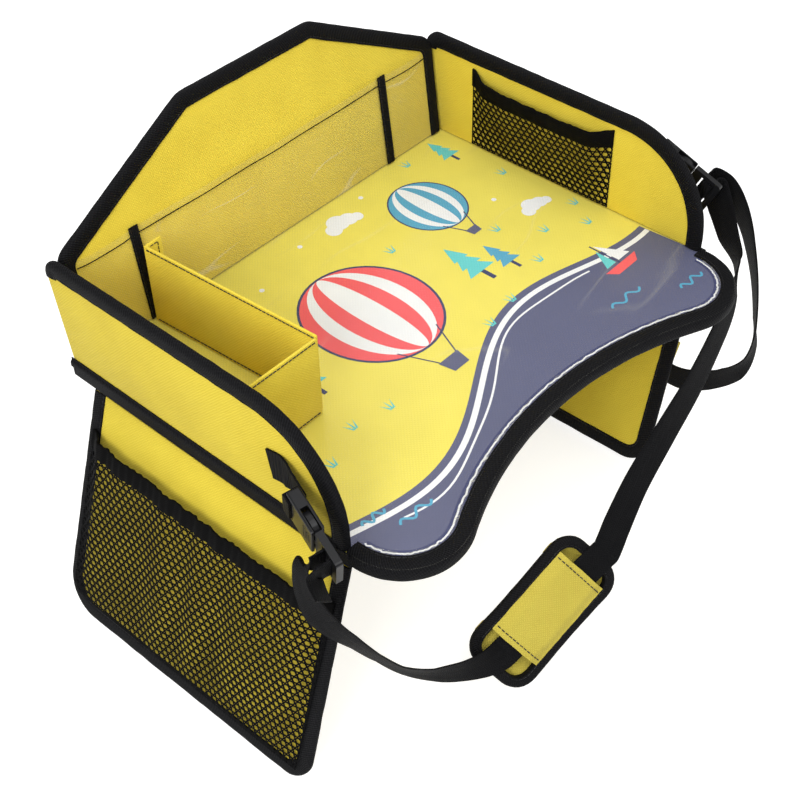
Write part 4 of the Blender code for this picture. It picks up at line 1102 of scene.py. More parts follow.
def printed_motifs():
    """Water with wave lines, balloons, a boat, clouds, trees and grass, in flat inks."""
    bm = bmesh.new()
    inset = [Vector(point) for point in front_edge()]
    edge = [(spot.x * 0.985, spot.y + 0.002) for spot in inset if spot.y < LOBE_Y + 0.020]
    xs = [-0.1985 + 0.397 * k / 60 for k in range(61)]
    water = [(x, shore(x)) for x in reversed(xs)]
    patch(bm, edge + water, 0, 1)
    stroke(bm, [(x, shore(x) - 0.008) for x in xs], 0.0044, 1, 5)
    stroke(bm, [(x, shore(x) - 0.0165 + 0.002 * math.sin(x * 60)) for x in xs[6:50]], 0.0016, 1, 5)
    for x, y, width in ((-0.150, -0.128, 0.030), (0.118, -0.106, 0.034), (0.168, -0.132, 0.026), (-0.172, -0.110, 0.02)):
        wave = [(x + width * (k / 16 - 0.5), y + 0.003 * math.sin(k / 16 * 4 * math.pi)) for k in range(17)]
        stroke(bm, wave, 0.0020, 2, 3)
    edge_lines(bm)
    balloon(bm, (-0.022, 0.030), 0.052, 2, 3)
    balloon(bm, (0.108, 0.086), 0.031, 3, 3)
    balloon(bm, (-0.163, 0.085), 0.019, 4, 3)
    sail_boat(bm, (0.150, -0.078), 0.019, 5)
    cloud(bm, (0.045, 0.122), 0.013, 3)
    cloud(bm, (-0.090, 0.098), 0.012, 3)
    cloud(bm, (0.166, 0.018), 0.011, 3)
    for x, y, size, tone in (
        (0.072, -0.002, 0.026, 4),
        (0.096, -0.012, 0.019, 3),
        (-0.108, 0.006, 0.023, 4),
        (0.176, 0.118, 0.018, 4),
        (-0.165, 0.010, 0.016, 3),
    ):
        fir(bm, (x, y), size, tone, 3)
    for x, y in (
        (-0.088, -0.052), (-0.120, -0.046), (-0.155, -0.060), (0.028, -0.050), (0.190, -0.006),
        (0.060, -0.044), (0.112, -0.030), (0.145, -0.010), (0.176, -0.030), (0.044, 0.066),
        (-0.096, 0.058), (0.140, 0.135), (-0.178, -0.040), (0.120, 0.020), (0.185, 0.066),
    ):
        tuft(bm, (x, y), 0.0105, 3)
    for x, y in ((0.000, 0.128), (0.080, 0.136), (0.150, 0.050), (-0.058, 0.112), (-0.115, 0.128)):
        disc(bm, (x, y), (0.0022, 0.0022), 3, 5, 0.0, 12)
    bmesh.ops.recalc_face_normals(bm, faces=bm.faces)
    down = [face for face in bm.faces if face.normal.z < 0]
    bmesh.ops.reverse_faces(bm, faces=down)
    return bm


def edge_lines(bm):
    """A dark line inside the front tape, and a thin wavering white line beside it that paints the highlight on the
    film's rolled edge.
    """
    edge = [spot for spot in front_edge() if spot[1] <= LOBE_Y + 0.0003]
    frames = edge_frames(evenly(edge, 0.0022))
    leg = sizes().tape_leg
    dark = [place @ Vector((-leg - 0.0018, 0, 0)) for place in frames]
    stroke(bm, [(spot.x, spot.y) for spot in dark], 0.0068, 8, 6)
    # Painted highlight: a wavering white stroke where the film's rolled edge catches the light.
    pale = []
    for k, place in enumerate(frames):
        sway = 0.0013 * noise.noise(Vector((k * 0.43, 1.0, 4.0)))
        spot = place @ Vector((-leg - 0.0024 + sway, 0, 0))
        pale.append((spot.x, spot.y))
    stroke(bm, pale, 0.0013, 9, 5)


class TRAY_OT_tray(bpy.types.Operator):
    """Padded tray with its printed sheet, clear film, front tape and seam bands"""

    bl_idname = "tray.tray"
    bl_label = "Tray"

    def execute(self, context):
        outline = tray_outline()
        board = plate(outline, 0, 0.0050, 0.0008)
        piece("tray_underside", board, "lining", "tray", None, ("tray_board",))
        foam = plate(outline, 0.0052, 0.0105, 0.0006)
        filling = piece("tray_filling", foam, "foam", "tray", None, ("tray_foam",))
        sheet = plate(outline, PRINT_LOW, PRINT_TOP, 0)
        piece("tray_print", sheet, "ground", "tray", None, ("printed_sheet",))
        inks = ("ground", "slate", "coral", "blue", "teal", "white", "navy")
        self.motifs(inks)
        film = plate(outline, 0.0117, TRAY_TOP, 0)
        piece("tray_film", film, "film", "tray", None, ("clear_cover_film",))
        edge = [spot for spot in front_edge() if spot[1] <= LOBE_Y + 0.0003]
        ends = [(side * TRAY_HALF, LOBE_Y + 0.0042) for side in (-1, 1)]
        bind_edge("front_edge_tape", ends[:1] + edge + ends[1:], 0, TRAY_TOP, "tray", None, ("front_binding",))
        self.lip(edge)
        self.bands()
        return {"FINISHED"}

    def lip(self, edge):
        """Rim of the film, rolled up and puckered beside the tape."""
        frames = edge_frames(evenly(edge, 0.0022))[4:-4]
        shift = Matrix.Translation((-sizes().tape_leg - 0.0018, TRAY_TOP + 0.0001, 0))
        section = [(0.0014 * math.cos(k * math.pi / 5), 0.0005 * math.sin(k * math.pi / 5)) for k in range(10)]
        bm = sweep(section, [place @ shift for place in frames])
        ruffle(bm, 0.00085, 170.0, 2.0)
        ruffle(bm, 0.00060, 420.0, 5.0)
        # Its look paints bright highlight streaks over the puckers.
        piece("film_lip", bm, "film lip", "tray", None, (), 60, True)

    def motifs(self, inks):
        """The flat inks of the print, one thin layer on the sheet."""
        bm = printed_motifs()
        lay_uv(bm)
        mesh = bpy.data.meshes.new("tray_motifs")
        bm.to_mesh(mesh)
        bm.free()
        for ink in inks:
            mesh.materials.append(LOOKS[ink])
        made = bpy.data.objects.new("tray_motifs", mesh)
        bpy.context.scene.collection.objects.link(made)
        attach(made, "tray")

    def bands(self):
        """Tape over the seams under the walls, and the tape the flaps hang on."""
        for name, side in (("left", -1), ("right", 1)):
            x = side * 0.2060
            middle = (TRAY_REAR + LOBE_Y) / 2 + 0.001
            bm = slab((0.0015, TRAY_REAR - LOBE_Y, 0.0122), (x, middle, 0.0058), 0.0005)
            hides = (f"{name}_seam_band",)
            piece(f"{name}_seam_tape", bm, "tape", "tray", None, hides)
            bm = slab((0.0016, 0.2550, 0.0040), (side * FLAP_X, 0.0100, -0.0023), 0.0006)
            hides = (f"{name}_flap_hinge_tape",)
            piece(f"{name}_hanging_tape", bm, "tape", "tray", None, hides)
        bm = slab((2 * TRAY_HALF, 0.0015, 0.0122), (0, TRAY_REAR + 0.0010, 0.0058), 0.0005)
        piece("rear_seam_tape", bm, "tape", "tray", None, ("rear_seam_band",))


# Walls

class TRAY_OT_side_walls(bpy.types.Operator):
    """Side walls with edge tape, stitched and taped feet and a velcro patch; the right wall's net pocket is made with
    the other pockets
    """

    bl_idname = "tray.side_walls"
    bl_label = "Side walls"

    def execute(self, context):
        edge = wall_edge()
        outline = edge + [(WALL_REAR_Y, WALL_BASE)]
        for name, side in (("left", -1), ("right", 1)):
            middle = side * (HALF_WIDTH + PANEL_T / 2)
            low = middle - PANEL_T / 2
            high = middle + PANEL_T / 2
            body = f"{name}_wall"
            bm = plate(outline, low, high, 0.0008)
            hides = (f"{name}_wall_panel",)
            piece(f"{name}_side_panel", bm, "cloth", body, side_place(), hides)
            hides = (f"{name}_wall_binding",)
            bind_edge(f"{name}_side_tape", edge[::-1], low, high, body, side_place(), hides)
            self.foot_seam(name, side, low, high)
            self.foot_lap(name, side, max(abs(low), abs(high)))
        bm = slab((0.0010, 0.0180, 0.0420), (-0.1992, -0.0260, 0.0473), 0.0003)
        piece("wall_velcro_patch", bm, "elastic", "left_wall", None, ("left_wall_velcro",))
        return {"FINISHED"}

    def foot_lap(self, name, side, face):
        """Tape that laps from the seam band up the wall's foot."""
        inner = [(0.20688, 0.0086), (0.20688, 0.0112), (0.20670, 0.0124), (face + 0.0013, 0.0133)]
        inner += [(face + 0.0002, 0.0142), (face + 0.0002, WALL_BASE + 0.0038)]
        outer = [(x + 0.0009, z + 0.0003) for x, z in inner]
        section = [(x * side, z) for x, z in inner + outer[::-1]][::side]
        turned = Matrix(((1, 0, 0), (0, 0, -1), (0, 1, 0))).to_4x4()
        ends = (WALL_FRONT_Y + 0.006, WALL_REAR_Y + 0.0015)
        bm = sweep(section, [Matrix.Translation((0, y, 0)) @ turned for y in ends])
        bmesh.ops.recalc_face_normals(bm, faces=bm.faces)
        made = piece(f"{name}_foot_lap", bm, "tape", None, None, ())
        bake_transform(made)

    def foot_seam(self, name, side, low, high):
        """A line of stitches along the wall's foot, on the outside."""
        level = high + 0.0001 if side > 0 else low - 0.0001
        foot = WALL_BASE + 0.0045
        run = [Vector((WALL_FRONT_Y + 0.012, foot, level)), Vector((WALL_REAR_Y - 0.003, foot, level))]
        look = "yellow thread"
        sew(f"{name}_foot_stitches", [run], look, f"{name}_wall", side_place(), False)


class TRAY_OT_rear_wall(bpy.types.Operator):
    """Rear wall with edge tape, clear pocket and its two strips"""

    bl_idname = "tray.rear_wall"
    bl_label = "Rear wall"

    def execute(self, context):
        place = rear_place()
        edge = rear_edge()
        back = 0.0013
        front = back + PANEL_T
        bm = plate(edge, back, front, 0.0008)
        piece("rear_panel", bm, "cloth", "rear_wall", place, ("rear_wall_panel",))
        bind_edge("rear_tape", edge, back, front, "rear_wall", place, ("rear_wall_binding",))
        self.pocket(place, front)
        for name, spot in STRIPS:
            bm = slab((0.0085, 0.0810, 0.0011), (spot, 0.0405, front + 0.0015), 0.0004)
            hides = (f"rear_pocket_strip_{name}",)
            piece(f"pocket_tape_{name}", bm, "tape", "rear_wall", place, hides)
            runs = []
            for aside in (-0.0031, 0.0031):
                ends = (Vector((spot + aside, 0.001, front + 0.0021)), Vector((spot + aside, 0.080, front + 0.0021)))
                runs.append(list(ends))
            sew(f"pocket_tape_stitches_{name}", runs, "black thread", "rear_wall", place, False)
        return {"FINISHED"}

    def pocket(self, place, front):
        """Clear film that bellies out between its strips, with a dark hem along its top."""
        half = REAR_HALF - 0.0115
        bm = bmesh.new()
        height = 0.0795
        scale = Matrix.Diagonal((half, height / 2, 1, 1))
        lift = Matrix.Translation((0, height / 2, front + 0.0005))
        bmesh.ops.create_grid(bm, x_segments=90, y_segments=22, size=1, matrix=lift @ scale)
        for vert in bm.verts:
            vert.co.z += self.belly(vert.co.x, vert.co.y / height)
        bmesh.ops.solidify(bm, geom=bm.faces[:], thickness=0.0003)
        piece("pocket_film", bm, "pocket film", "rear_wall", place, ("rear_pocket_film",), 80)
        line = []
        for k in range(91):
            x = -half + 2 * half * k / 90
            line.append(Vector((x, POCKET_H, front + 0.0010 + self.belly(x, POCKET_H / height))))
        frames = [Matrix.Translation(spot) @ Matrix.Rotation(math.pi / 2, 4, "Y") for spot in line]
        section = [(0.00045 * math.cos(a * math.pi / 4), 0.0004 * math.sin(a * math.pi / 4)) for a in range(8)]
        hem = sweep(section, frames)
        piece("pocket_hem", hem, "tape", "rear_wall", place, (), 60, True)

    def belly(self, x, rise):
        """How far the film stands off the wall."""
        bays = (-REAR_HALF + 0.0115, STRIPS[0][1], STRIPS[1][1], REAR_HALF - 0.0115)
        for start, end in zip(bays, bays[1:]):
            if start <= x <= end:
                share = (x - start) / (end - start)
                swell = math.sin(math.pi * share) ** 0.7
                wave = noise.noise(Vector((x * 28, rise * 1.6, 3.0)))
                return swell * rise ** 1.5 * (0.0026 + 0.0016 * wave) + 0.00001
        return 0.0


class TRAY_OT_divider(bpy.types.Operator):
    """Long divider wall and its end wall"""

    bl_idname = "tray.divider"
    bl_label = "Divider"

    def execute(self, context):
        corner = Vector((*DIVIDER_CORNER, WALL_BASE))
        start = Vector((*DIVIDER_REAR, WALL_BASE))
        length = (start - corner).length
        place = frame_at(corner, start - corner, Vector((0, 0, 1)))
        half = DIVIDER_T / 2
        bm = plate([(half, 0), (length, 0), (length, DIVIDER_H), (half, DIVIDER_H)], -half, half, 0.0007)
        piece("divider_panel", bm, "cloth", "divider_long", place, ("divider_long_wall",))
        tab = slab((0.0022, 0.0460, 0.0150), (length - 0.0011, 0.0470, half + 0.0064), 0.0005)
        piece("divider_tab", tab, "cloth", "divider_long", place, ())
        reach = HALF_WIDTH - 0.0016 + corner.x
        across = frame_at(corner, Vector((-1, 0, 0)), Vector((0, 0, 1)))
        bm = plate([(half + 0.0009, 0), (reach, 0), (reach, DIVIDER_H), (half + 0.0009, DIVIDER_H)], -half, half, 0.0007)
        piece("divider_end_panel", bm, "cloth", "divider_end", across, ("divider_end_wall",))
        fold = slab((0.0022, 0.0460, 0.0110), (reach - 0.0011, 0.0470, -half - 0.0050), 0.0005)
        piece("divider_end_tab", fold, "cloth", "divider_end", across, ())
        self.seams(place, across, length, reach)
        return {"FINISHED"}

    def seams(self, place, across, length, reach):
        """Black stitches along the top and foot of both walls, and down the rear tab."""
        for body, where, end, start in (("divider_long", place, length, 0.0), ("divider_end", across, reach, 0.002)):
            runs = []
            for level in (-0.0014, 0.0014):
                for rise in (0.0022, DIVIDER_H - 0.0019):
                    runs.append([Vector((start + 0.002, rise, level)), Vector((end - 0.003, rise, level))])
            if body == "divider_long":
                x = length - 0.0023
                runs.append([Vector((x, 0.0260, 0.0110)), Vector((x, 0.0680, 0.0110))])
                runs.append([Vector((x, 0.0680, 0.0030)), Vector((x, 0.0680, 0.0110))])
            sew(f"{body}_stitches", runs, "black thread", body, where, False, 0.00090)


# Flaps

def flap_outline():
    """A flap's edge, from its rear top round to its front top."""
    return fillet(FLAP_EDGE, FLAP_RADII)


def hex_net(length, height, pitch, strand, thick):
    """A net of six-sided holes, centred on local X and rising from local Y zero."""
    bm = bmesh.new()
    radius = pitch / math.sqrt(3)
    lift = pitch * math.sqrt(3) / 2
    across = int(length / pitch) + 2
    start = -length / 2
    for odd in (0, 1):
        for k in range(across):
            spot = Matrix.Translation((start + (k + odd / 2) * pitch, odd * lift, 0))
            turned = Matrix.Rotation(math.pi / 6, 4, "Z")
            bmesh.ops.create_circle(bm, cap_ends=True, segments=6, radius=radius, matrix=spot @ turned)
    pair = bm.verts[:] + bm.edges[:] + bm.faces[:]
    for k in range(1, int(height / (2 * lift)) + 2):
        copied = bmesh.ops.duplicate(bm, geom=pair)["geom"]
        moved = [item for item in copied if isinstance(item, bmesh.types.BMVert)]
        bmesh.ops.translate(bm, vec=(0, 2 * lift * k, 0), verts=moved)
    bmesh.ops.remove_doubles(bm, verts=bm.verts, dist=pitch * 0.02)
    for place, normal in (
        ((-length / 2, 0, 0), (-1, 0, 0)),
        ((length / 2, 0, 0), (1, 0, 0)),
        ((0, 0, 0), (0, -1, 0)),
        ((0, height, 0), (0, 1, 0)),
    ):
        whole = bm.verts[:] + bm.edges[:] + bm.faces[:]
        bmesh.ops.bisect_plane(bm, geom=whole, plane_co=place, plane_no=normal, clear_outer=True)
    cells = bm.faces[:]
    bmesh.ops.inset_individual(bm, faces=cells, thickness=strand / 2)
    bmesh.ops.delete(bm, geom=cells, context="FACES")
    bmesh.ops.solidify(bm, geom=bm.faces[:], thickness=thick)
    return bm


class TRAY_OT_flaps(bpy.types.Operator):
    """Hanging flaps with edge tape"""

    bl_idname = "tray.flaps"
    bl_label = "Flaps"

    def execute(self, context):
        edge = flap_outline()
        half = FLAP_T / 2
        for name, side, splay in (("left", -1, LEFT_SPLAY), ("right", 1, RIGHT_SPLAY)):
            place = flap_place(side, splay)
            bm = plate(edge, -half, half, 0.0006)
            body = f"{name}_flap"
            hides = (f"{name}_flap_panel",)
            piece(f"{name}_hanging_panel", bm, "cloth", body, place, hides)
            hides = (f"{name}_flap_binding",)
            bind_edge(f"{name}_hanging_edge", edge[::-1], -half, half, body, place, hides)
        return {"FINISHED"}


class TRAY_OT_pockets(bpy.types.Operator):
    """Net pockets of the left flap and right wall, and the right flap's cloth pocket"""

    bl_idname = "tray.pockets"
    bl_label = "Pockets"

    def execute(self, context):
        self.flap_net()
        self.wall_net()
        self.cloth_pocket()
        return {"FINISHED"}

    def flap_net(self):
        """Net on the left flap's outer face, gathered under a ruffled elastic band."""
        place = flap_place(-1, LEFT_SPLAY)
        length = 0.2480
        height = 0.1375
        foot = Vector((0.0085, -0.1815, -0.0038))
        lean = math.atan2(0.0085, height)
        bm = hex_net(length, height, sizes().net_pitch, sizes().net_strand, 0.0005)
        for corner, normal in (((0.1163, -0.0008, 0), (0.7, -0.7, 0)), ((-0.1250, 0.0010, 0), (-0.7, -0.7, 0))):
            whole = bm.verts[:] + bm.edges[:] + bm.faces[:]
            bmesh.ops.bisect_plane(bm, geom=whole, plane_co=corner, plane_no=normal, clear_outer=True)
        self.hang(bm, foot, lean, length, height, -0.0031, 0.0020, 0.0007, 0.0, 0.0017)
        piece("flap_net", bm, "net", "left_flap", place, ("left_flap_net",), 60)
        hem = self.band(length, 0.0145, height - 0.0020)
        self.hang(hem, foot, lean, length, height, -0.0036, 0.0020, 0.0007, 0.0004)
        piece("flap_elastic", hem, "elastic", "left_flap", place, ("left_flap_elastic",))

    def band(self, length, width, height):
        """A flat elastic band along the top of a net."""
        hem = slab((length, width, 0.0020), (0, height + width / 2, 0), 0.0006)
        cuts = [edge for edge in hem.edges if abs(edge.verts[0].co.x - edge.verts[1].co.x) > 0.1]
        bmesh.ops.subdivide_edges(hem, edges=cuts, cuts=round(length / 0.0014), use_grid_fill=True)
        return hem

    def hang(self, bm, foot, lean, length, height, face, sag, fold, crimp=0.0, drape=0.0):
        """Lean a net off its panel, sewn down at both ends, sagging and puckered along the top."""
        tilt = Matrix.Translation(foot) @ Matrix.Rotation(-lean, 4, "X")
        for vert in bm.verts:
            x = vert.co.x
            share = min(max(x / length + 0.5, 0.0), 1.0)
            rise = max(vert.co.y / height, 0.0)
            near = min(min(share, 1 - share) * length / 0.020, 1.0)
            ease = near * near * (3 - 2 * near)
            plane = foot.z - vert.co.y * math.sin(lean)
            bend = (face - plane) * (1 - ease)
            pucker = fold * math.sin(x * 240 + 3 * math.sin(x * 50)) * rise ** 2 * ease
            soft = 0.8 * fold * noise.noise(Vector((x * 24, vert.co.y * 14, 7.0))) * ease
            low = min(rise, 1.0)
            folds = drape * math.sin(x * 105 + 2 * math.sin(x * 37)) * 4 * low * (1 - low) * ease
            vert.co.z += bend + pucker + soft + folds + crimp * math.sin(x * 850)
            vert.co.y += crimp * (0.7 * math.sin(x * 1040) + 1.1 * math.sin(x * 170) * math.sin(x * 47))
            vert.co.y -= sag * (1 - abs(2 * share - 1) ** 3) * rise ** 2
        bmesh.ops.transform(bm, matrix=tilt, verts=bm.verts)

    def wall_net(self):
        """Net inside the right wall, under a plain elastic band."""
        place = Matrix.Translation((0.2067, 0, WALL_BASE + 0.0012)) @ side_place()
        length = 0.1440
        height = 0.0605
        foot = Vector((0.0430, 0.0, -0.0076))
        lean = math.atan2(0.0080, height)
        bm = hex_net(length, height, sizes().net_pitch, sizes().net_strand, 0.0005)
        self.hang(bm, foot, lean, length, height, -0.0071, 0.0035, 0.0003, 0.0, 0.0008)
        piece("wall_net", bm, "net", "right_wall", place, ("right_wall_net",), 60)
        hem = self.band(length, 0.0160, height - 0.0030)
        self.hang(hem, foot, lean, length, height, -0.0077, 0.0035, 0.0003, 0.00015)
        piece("wall_elastic", hem, "elastic", "right_wall", place, ("right_wall_elastic",))

    def cloth_pocket(self):
        """Cloth pocket with side gussets on the right flap's outer face."""
        place = flap_place(1, RIGHT_SPLAY)
        face = 0.0029
        top = -0.0800
        bottom = -0.1660
        gape = 0.0200
        bm = bmesh.new()
        corners = ((-0.115, face), (-0.115, 1), (0.135, 1), (0.135, face))
        levels = 14
        rings = []
        for k in range(levels + 1):
            share = k / levels
            up = bottom + (top - bottom) * share
            out = face + 0.0032 + (gape - 0.0032) * share ** 0.9
            rings.append([bm.verts.new((x, up, out if z == 1 else z)) for x, z in corners])
        for near, far in zip(rings, rings[1:]):
            for i in range(3):
                bm.faces.new((near[i], near[i + 1], far[i + 1], far[i]))
        bm.faces.new(rings[0])
        bmesh.ops.recalc_face_normals(bm, faces=bm.faces)
        sides = [edge for edge in bm.edges if edge.calc_face_angle(0) > 1.0]
        round_off(bm, sides, 0.0016, 3)
        bmesh.ops.solidify(bm, geom=bm.faces[:], thickness=0.0014)
        piece("flap_cloth_pocket", bm, "cloth", "right_flap", place, ("right_flap_pocket",))
        run = [Vector((-0.113, top - 0.005, face + gape * 0.95 + 0.0002)), Vector((0.133, top - 0.005, face + gape * 0.95 + 0.0002))]
        sew("cloth_pocket_stitches", [run], "yellow thread", "right_flap", place, False)


# Buckles and pad

class TRAY_OT_buckles(bpy.types.Operator):
    """Side-release buckles, their tabs and the webbing threaded through their bars"""

    bl_idname = "tray.buckles"
    bl_label = "Buckles"

    def execute(self, context):
        for name, facts in (("left", LEFT_BUCKLE), ("right", RIGHT_BUCKLE)):
            place = frame_at(*facts)
            parts = ("buckle_plug", "buckle_socket", "prong_upper", "prong_lower")
            for part in parts:
                self.moulded(f"{name}_{part}")
            for part in ("tab", "tab_loop", "ladder_webbing"):
                self.woven(f"{name}_{part}")
            self.grips(name, place)
        return {"FINISHED"}

    def moulded(self, node):
        """Give a moulded node its finish."""
        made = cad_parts[node]
        for k in range(len(made.material_slots)):
            made.material_slots[k].material = LOOKS["plastic"]

    def woven(self, node):
        """Give a webbing node its finish."""
        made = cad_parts[node]
        for k in range(len(made.material_slots)):
            made.material_slots[k].material = LOOKS["webbing node"]

    def grips(self, name, place):
        """Raised ribs across the socket and one across the plug."""
        bm = bmesh.new()
        for k in range(4):
            for face in (-1, 1):
                spot = Matrix.Translation((0.0215 + 0.0022 * k, 0, face * 0.0048))
                shape = Matrix.Diagonal((0.0008, 0.0180 - 0.002 * k, 0.0005, 1))
                bmesh.ops.create_cube(bm, size=1, matrix=spot @ shape)
        round_off(bm, bm.edges[:], 0.00015, 1)
        piece(f"{name}_socket_ribs", bm, "plastic", f"{name}_wall", place, ())
        bm = slab((0.0006, 0.0200, 0.0052), (0.0548, 0, 0), 0.0002, 1)
        piece(f"{name}_plug_rib", bm, "plastic", f"{name}_plug", place, ())


def pad_outline(shrink):
    """Rounded outline of the pad with its sides drawn in at the waist."""
    half_l = PAD_L / 2 - shrink
    half_w = PAD_W / 2 - shrink
    radius = max(0.018 - shrink, 0.009)
    corners = ((half_l, -half_w), (half_l, half_w), (-half_l, half_w), (-half_l, -half_w))
    outline = evenly(fillet(corners, (radius,) * 4, 8), 0.004, True)
    drawn = []
    for spot in outline:
        waist = 0.0016 * math.cos(math.pi * spot.x / PAD_L) if abs(spot.x) < half_l else 0
        drawn.append((spot.x, spot.y - math.copysign(waist, spot.y)))
    return drawn


class TRAY_OT_pad(bpy.types.Operator):
    """Shoulder pad: cushion, edge tape and the sleeve that holds it on the strap"""

    bl_idname = "tray.pad"
    bl_label = "Shoulder pad"

    def execute(self, context):
        place = pad_place()
        cushion = self.cushion(place)
        edge = pad_outline(0)
        bind_edge("pad_tape", edge, -0.0040, 0, "pad", place, ("pad_binding",), True, 0.0070)
        self.sleeve(place)
        return {"FINISHED"}

    def cushion(self, place):
        """Cushion blown up between its tape, flat where the webbing lies on it."""
        bm = bmesh.new()
        outline = pad_outline(0.0006)
        face = bm.faces.new([bm.verts.new((x, y, -0.0036)) for x, y in outline])
        steps = ((0.007, -0.0001, 0.0001), (0.004, -0.0022, 0.0003), (0.006, -0.0028, 0.0002), (0.006, -0.0008, 0.0001))
        bottom = face
        for inset, drop, _ in steps:
            bmesh.ops.inset_region(bm, faces=[bottom], thickness=inset, depth=0, use_even_offset=True)
            bmesh.ops.translate(bm, vec=(0, 0, drop), verts=bottom.verts)
        rim = [edge for edge in bm.edges if edge.is_boundary]
        top = bmesh.ops.extrude_edge_only(bm, edges=rim)["geom"]
        lifted = [item for item in top if isinstance(item, bmesh.types.BMVert)]
        bmesh.ops.translate(bm, vec=(0, 0, 0.0034), verts=lifted)
        bmesh.ops.holes_fill(bm, edges=bm.edges, sides=0)
        bm = self.swell(bm, place)
        return piece("pad_filling", bm, "pad cloth", "pad", place, ("pad_cushion",))

    def swell(self, bm, place):
        """Blow the cushion up as soft filling does, held under its tape and the webbing."""
        mesh = bpy.data.meshes.new("pad_filling")
        bm.to_mesh(mesh)
        bm.free()
        made = bpy.data.objects.new("pad_filling", mesh)
        bpy.context.scene.collection.objects.link(made)
        remesh = made.modifiers.new("Remesh", "REMESH")
        remesh.mode = "VOXEL"
        remesh.voxel_size = 0.0021
        self.settle(made)
        held = made.vertex_groups.new(name="held")
        start = []
        for vert in made.data.vertices:
            x, y, z = vert.co
            start.append(vert.co.copy())
            rim = abs(y) > PAD_W / 2 - 0.0085 or abs(x) > PAD_L / 2 - 0.0085
            if rim or (z > -0.0010 and abs(y) < 0.0150):
                held.add([vert.index], 1.0, "REPLACE")
        cloth = made.modifiers.new("Cloth", "CLOTH")
        cloth.settings.quality = 6
        cloth.settings.mass = 0.25
        cloth.settings.tension_stiffness = 12
        cloth.settings.compression_stiffness = 12
        cloth.settings.bending_stiffness = 0.3
        cloth.settings.shrink_min = -0.02
        cloth.settings.use_pressure = True
        cloth.settings.uniform_pressure_force = 4
        cloth.settings.effector_weights.gravity = 0
        cloth.settings.vertex_group_mass = "held"
        last = sizes().pad_steps
        cloth.point_cache.frame_end = last
        for step in range(1, last + 1):
            bpy.context.scene.frame_set(step)
        self.settle(made)
        bpy.context.scene.frame_set(1)
        for vert, before in zip(made.data.vertices, start):
            moved = vert.co - before
            vert.co = before + moved * min(1.0, 0.0028 / max(moved.length, 1e-9))
        found = bmesh.new()
        found.from_mesh(made.data)
        bmesh.ops.smooth_vert(found, verts=found.verts, factor=0.5, use_axis_x=True, use_axis_y=True, use_axis_z=True)
        bpy.data.objects.remove(made)
        return found

    def settle(self, made):
        """Turn an object's modifiers into its mesh."""
        graph = bpy.context.evaluated_depsgraph_get()
        mesh = bpy.data.meshes.new_from_object(made.evaluated_get(graph))
        made.modifiers.clear()
        made.data = mesh

    def sleeve(self, place):
        """Sleeve over the webbing, hemmed at both ends with black stitches."""
        half = 0.0236
        length = 0.0750
        middle = 0.0045
        section = []
        for k in range(33):
            t = -1 + 2 * k / 32
            section.append((half * t, self.sleeve_height(half * t)))
        section += [(x, y - 0.0008) for x, y in section[::-1]]
        frames = []
        for k in range(37):
            x = middle - length / 2 + length * k / 36
            turned = Matrix(((0, 0, 1), (1, 0, 0), (0, 1, 0))).to_4x4()
            frames.append(Matrix.Translation((x, 0, 0)) @ turned)
        bm = sweep(section, frames)
        ruffle(bm, 0.0005, 62.0, 4.0)
        ruffle(bm, 0.00022, 190.0, 9.0)
        piece("pad_sleeve_cloth", bm, "pad cloth", "pad", place, ("pad_sleeve",), 50)
        runs = []
        for end in (-1, 1):
            x = middle + end * (length / 2 - 0.0042)
            line = []
            for k in range(33):
                t = -0.96 + 1.92 * k / 32
                line.append(Vector((x, half * t, self.sleeve_height(half * t) + 0.0002)))
            runs.append(line)
        sew("sleeve_stitches", runs, "black thread", "pad", place, False, 0.00085)

    def sleeve_height(self, y):
        """Height of the sleeve across the pad: flat over the webbing, down to the tape at the sides."""
        fall = min(max((0.0236 - abs(y)) / 0.0092, 0.0), 1.0)
        return 0.0014 + 0.0032 * fall * fall * (3 - 2 * fall)


# Stage

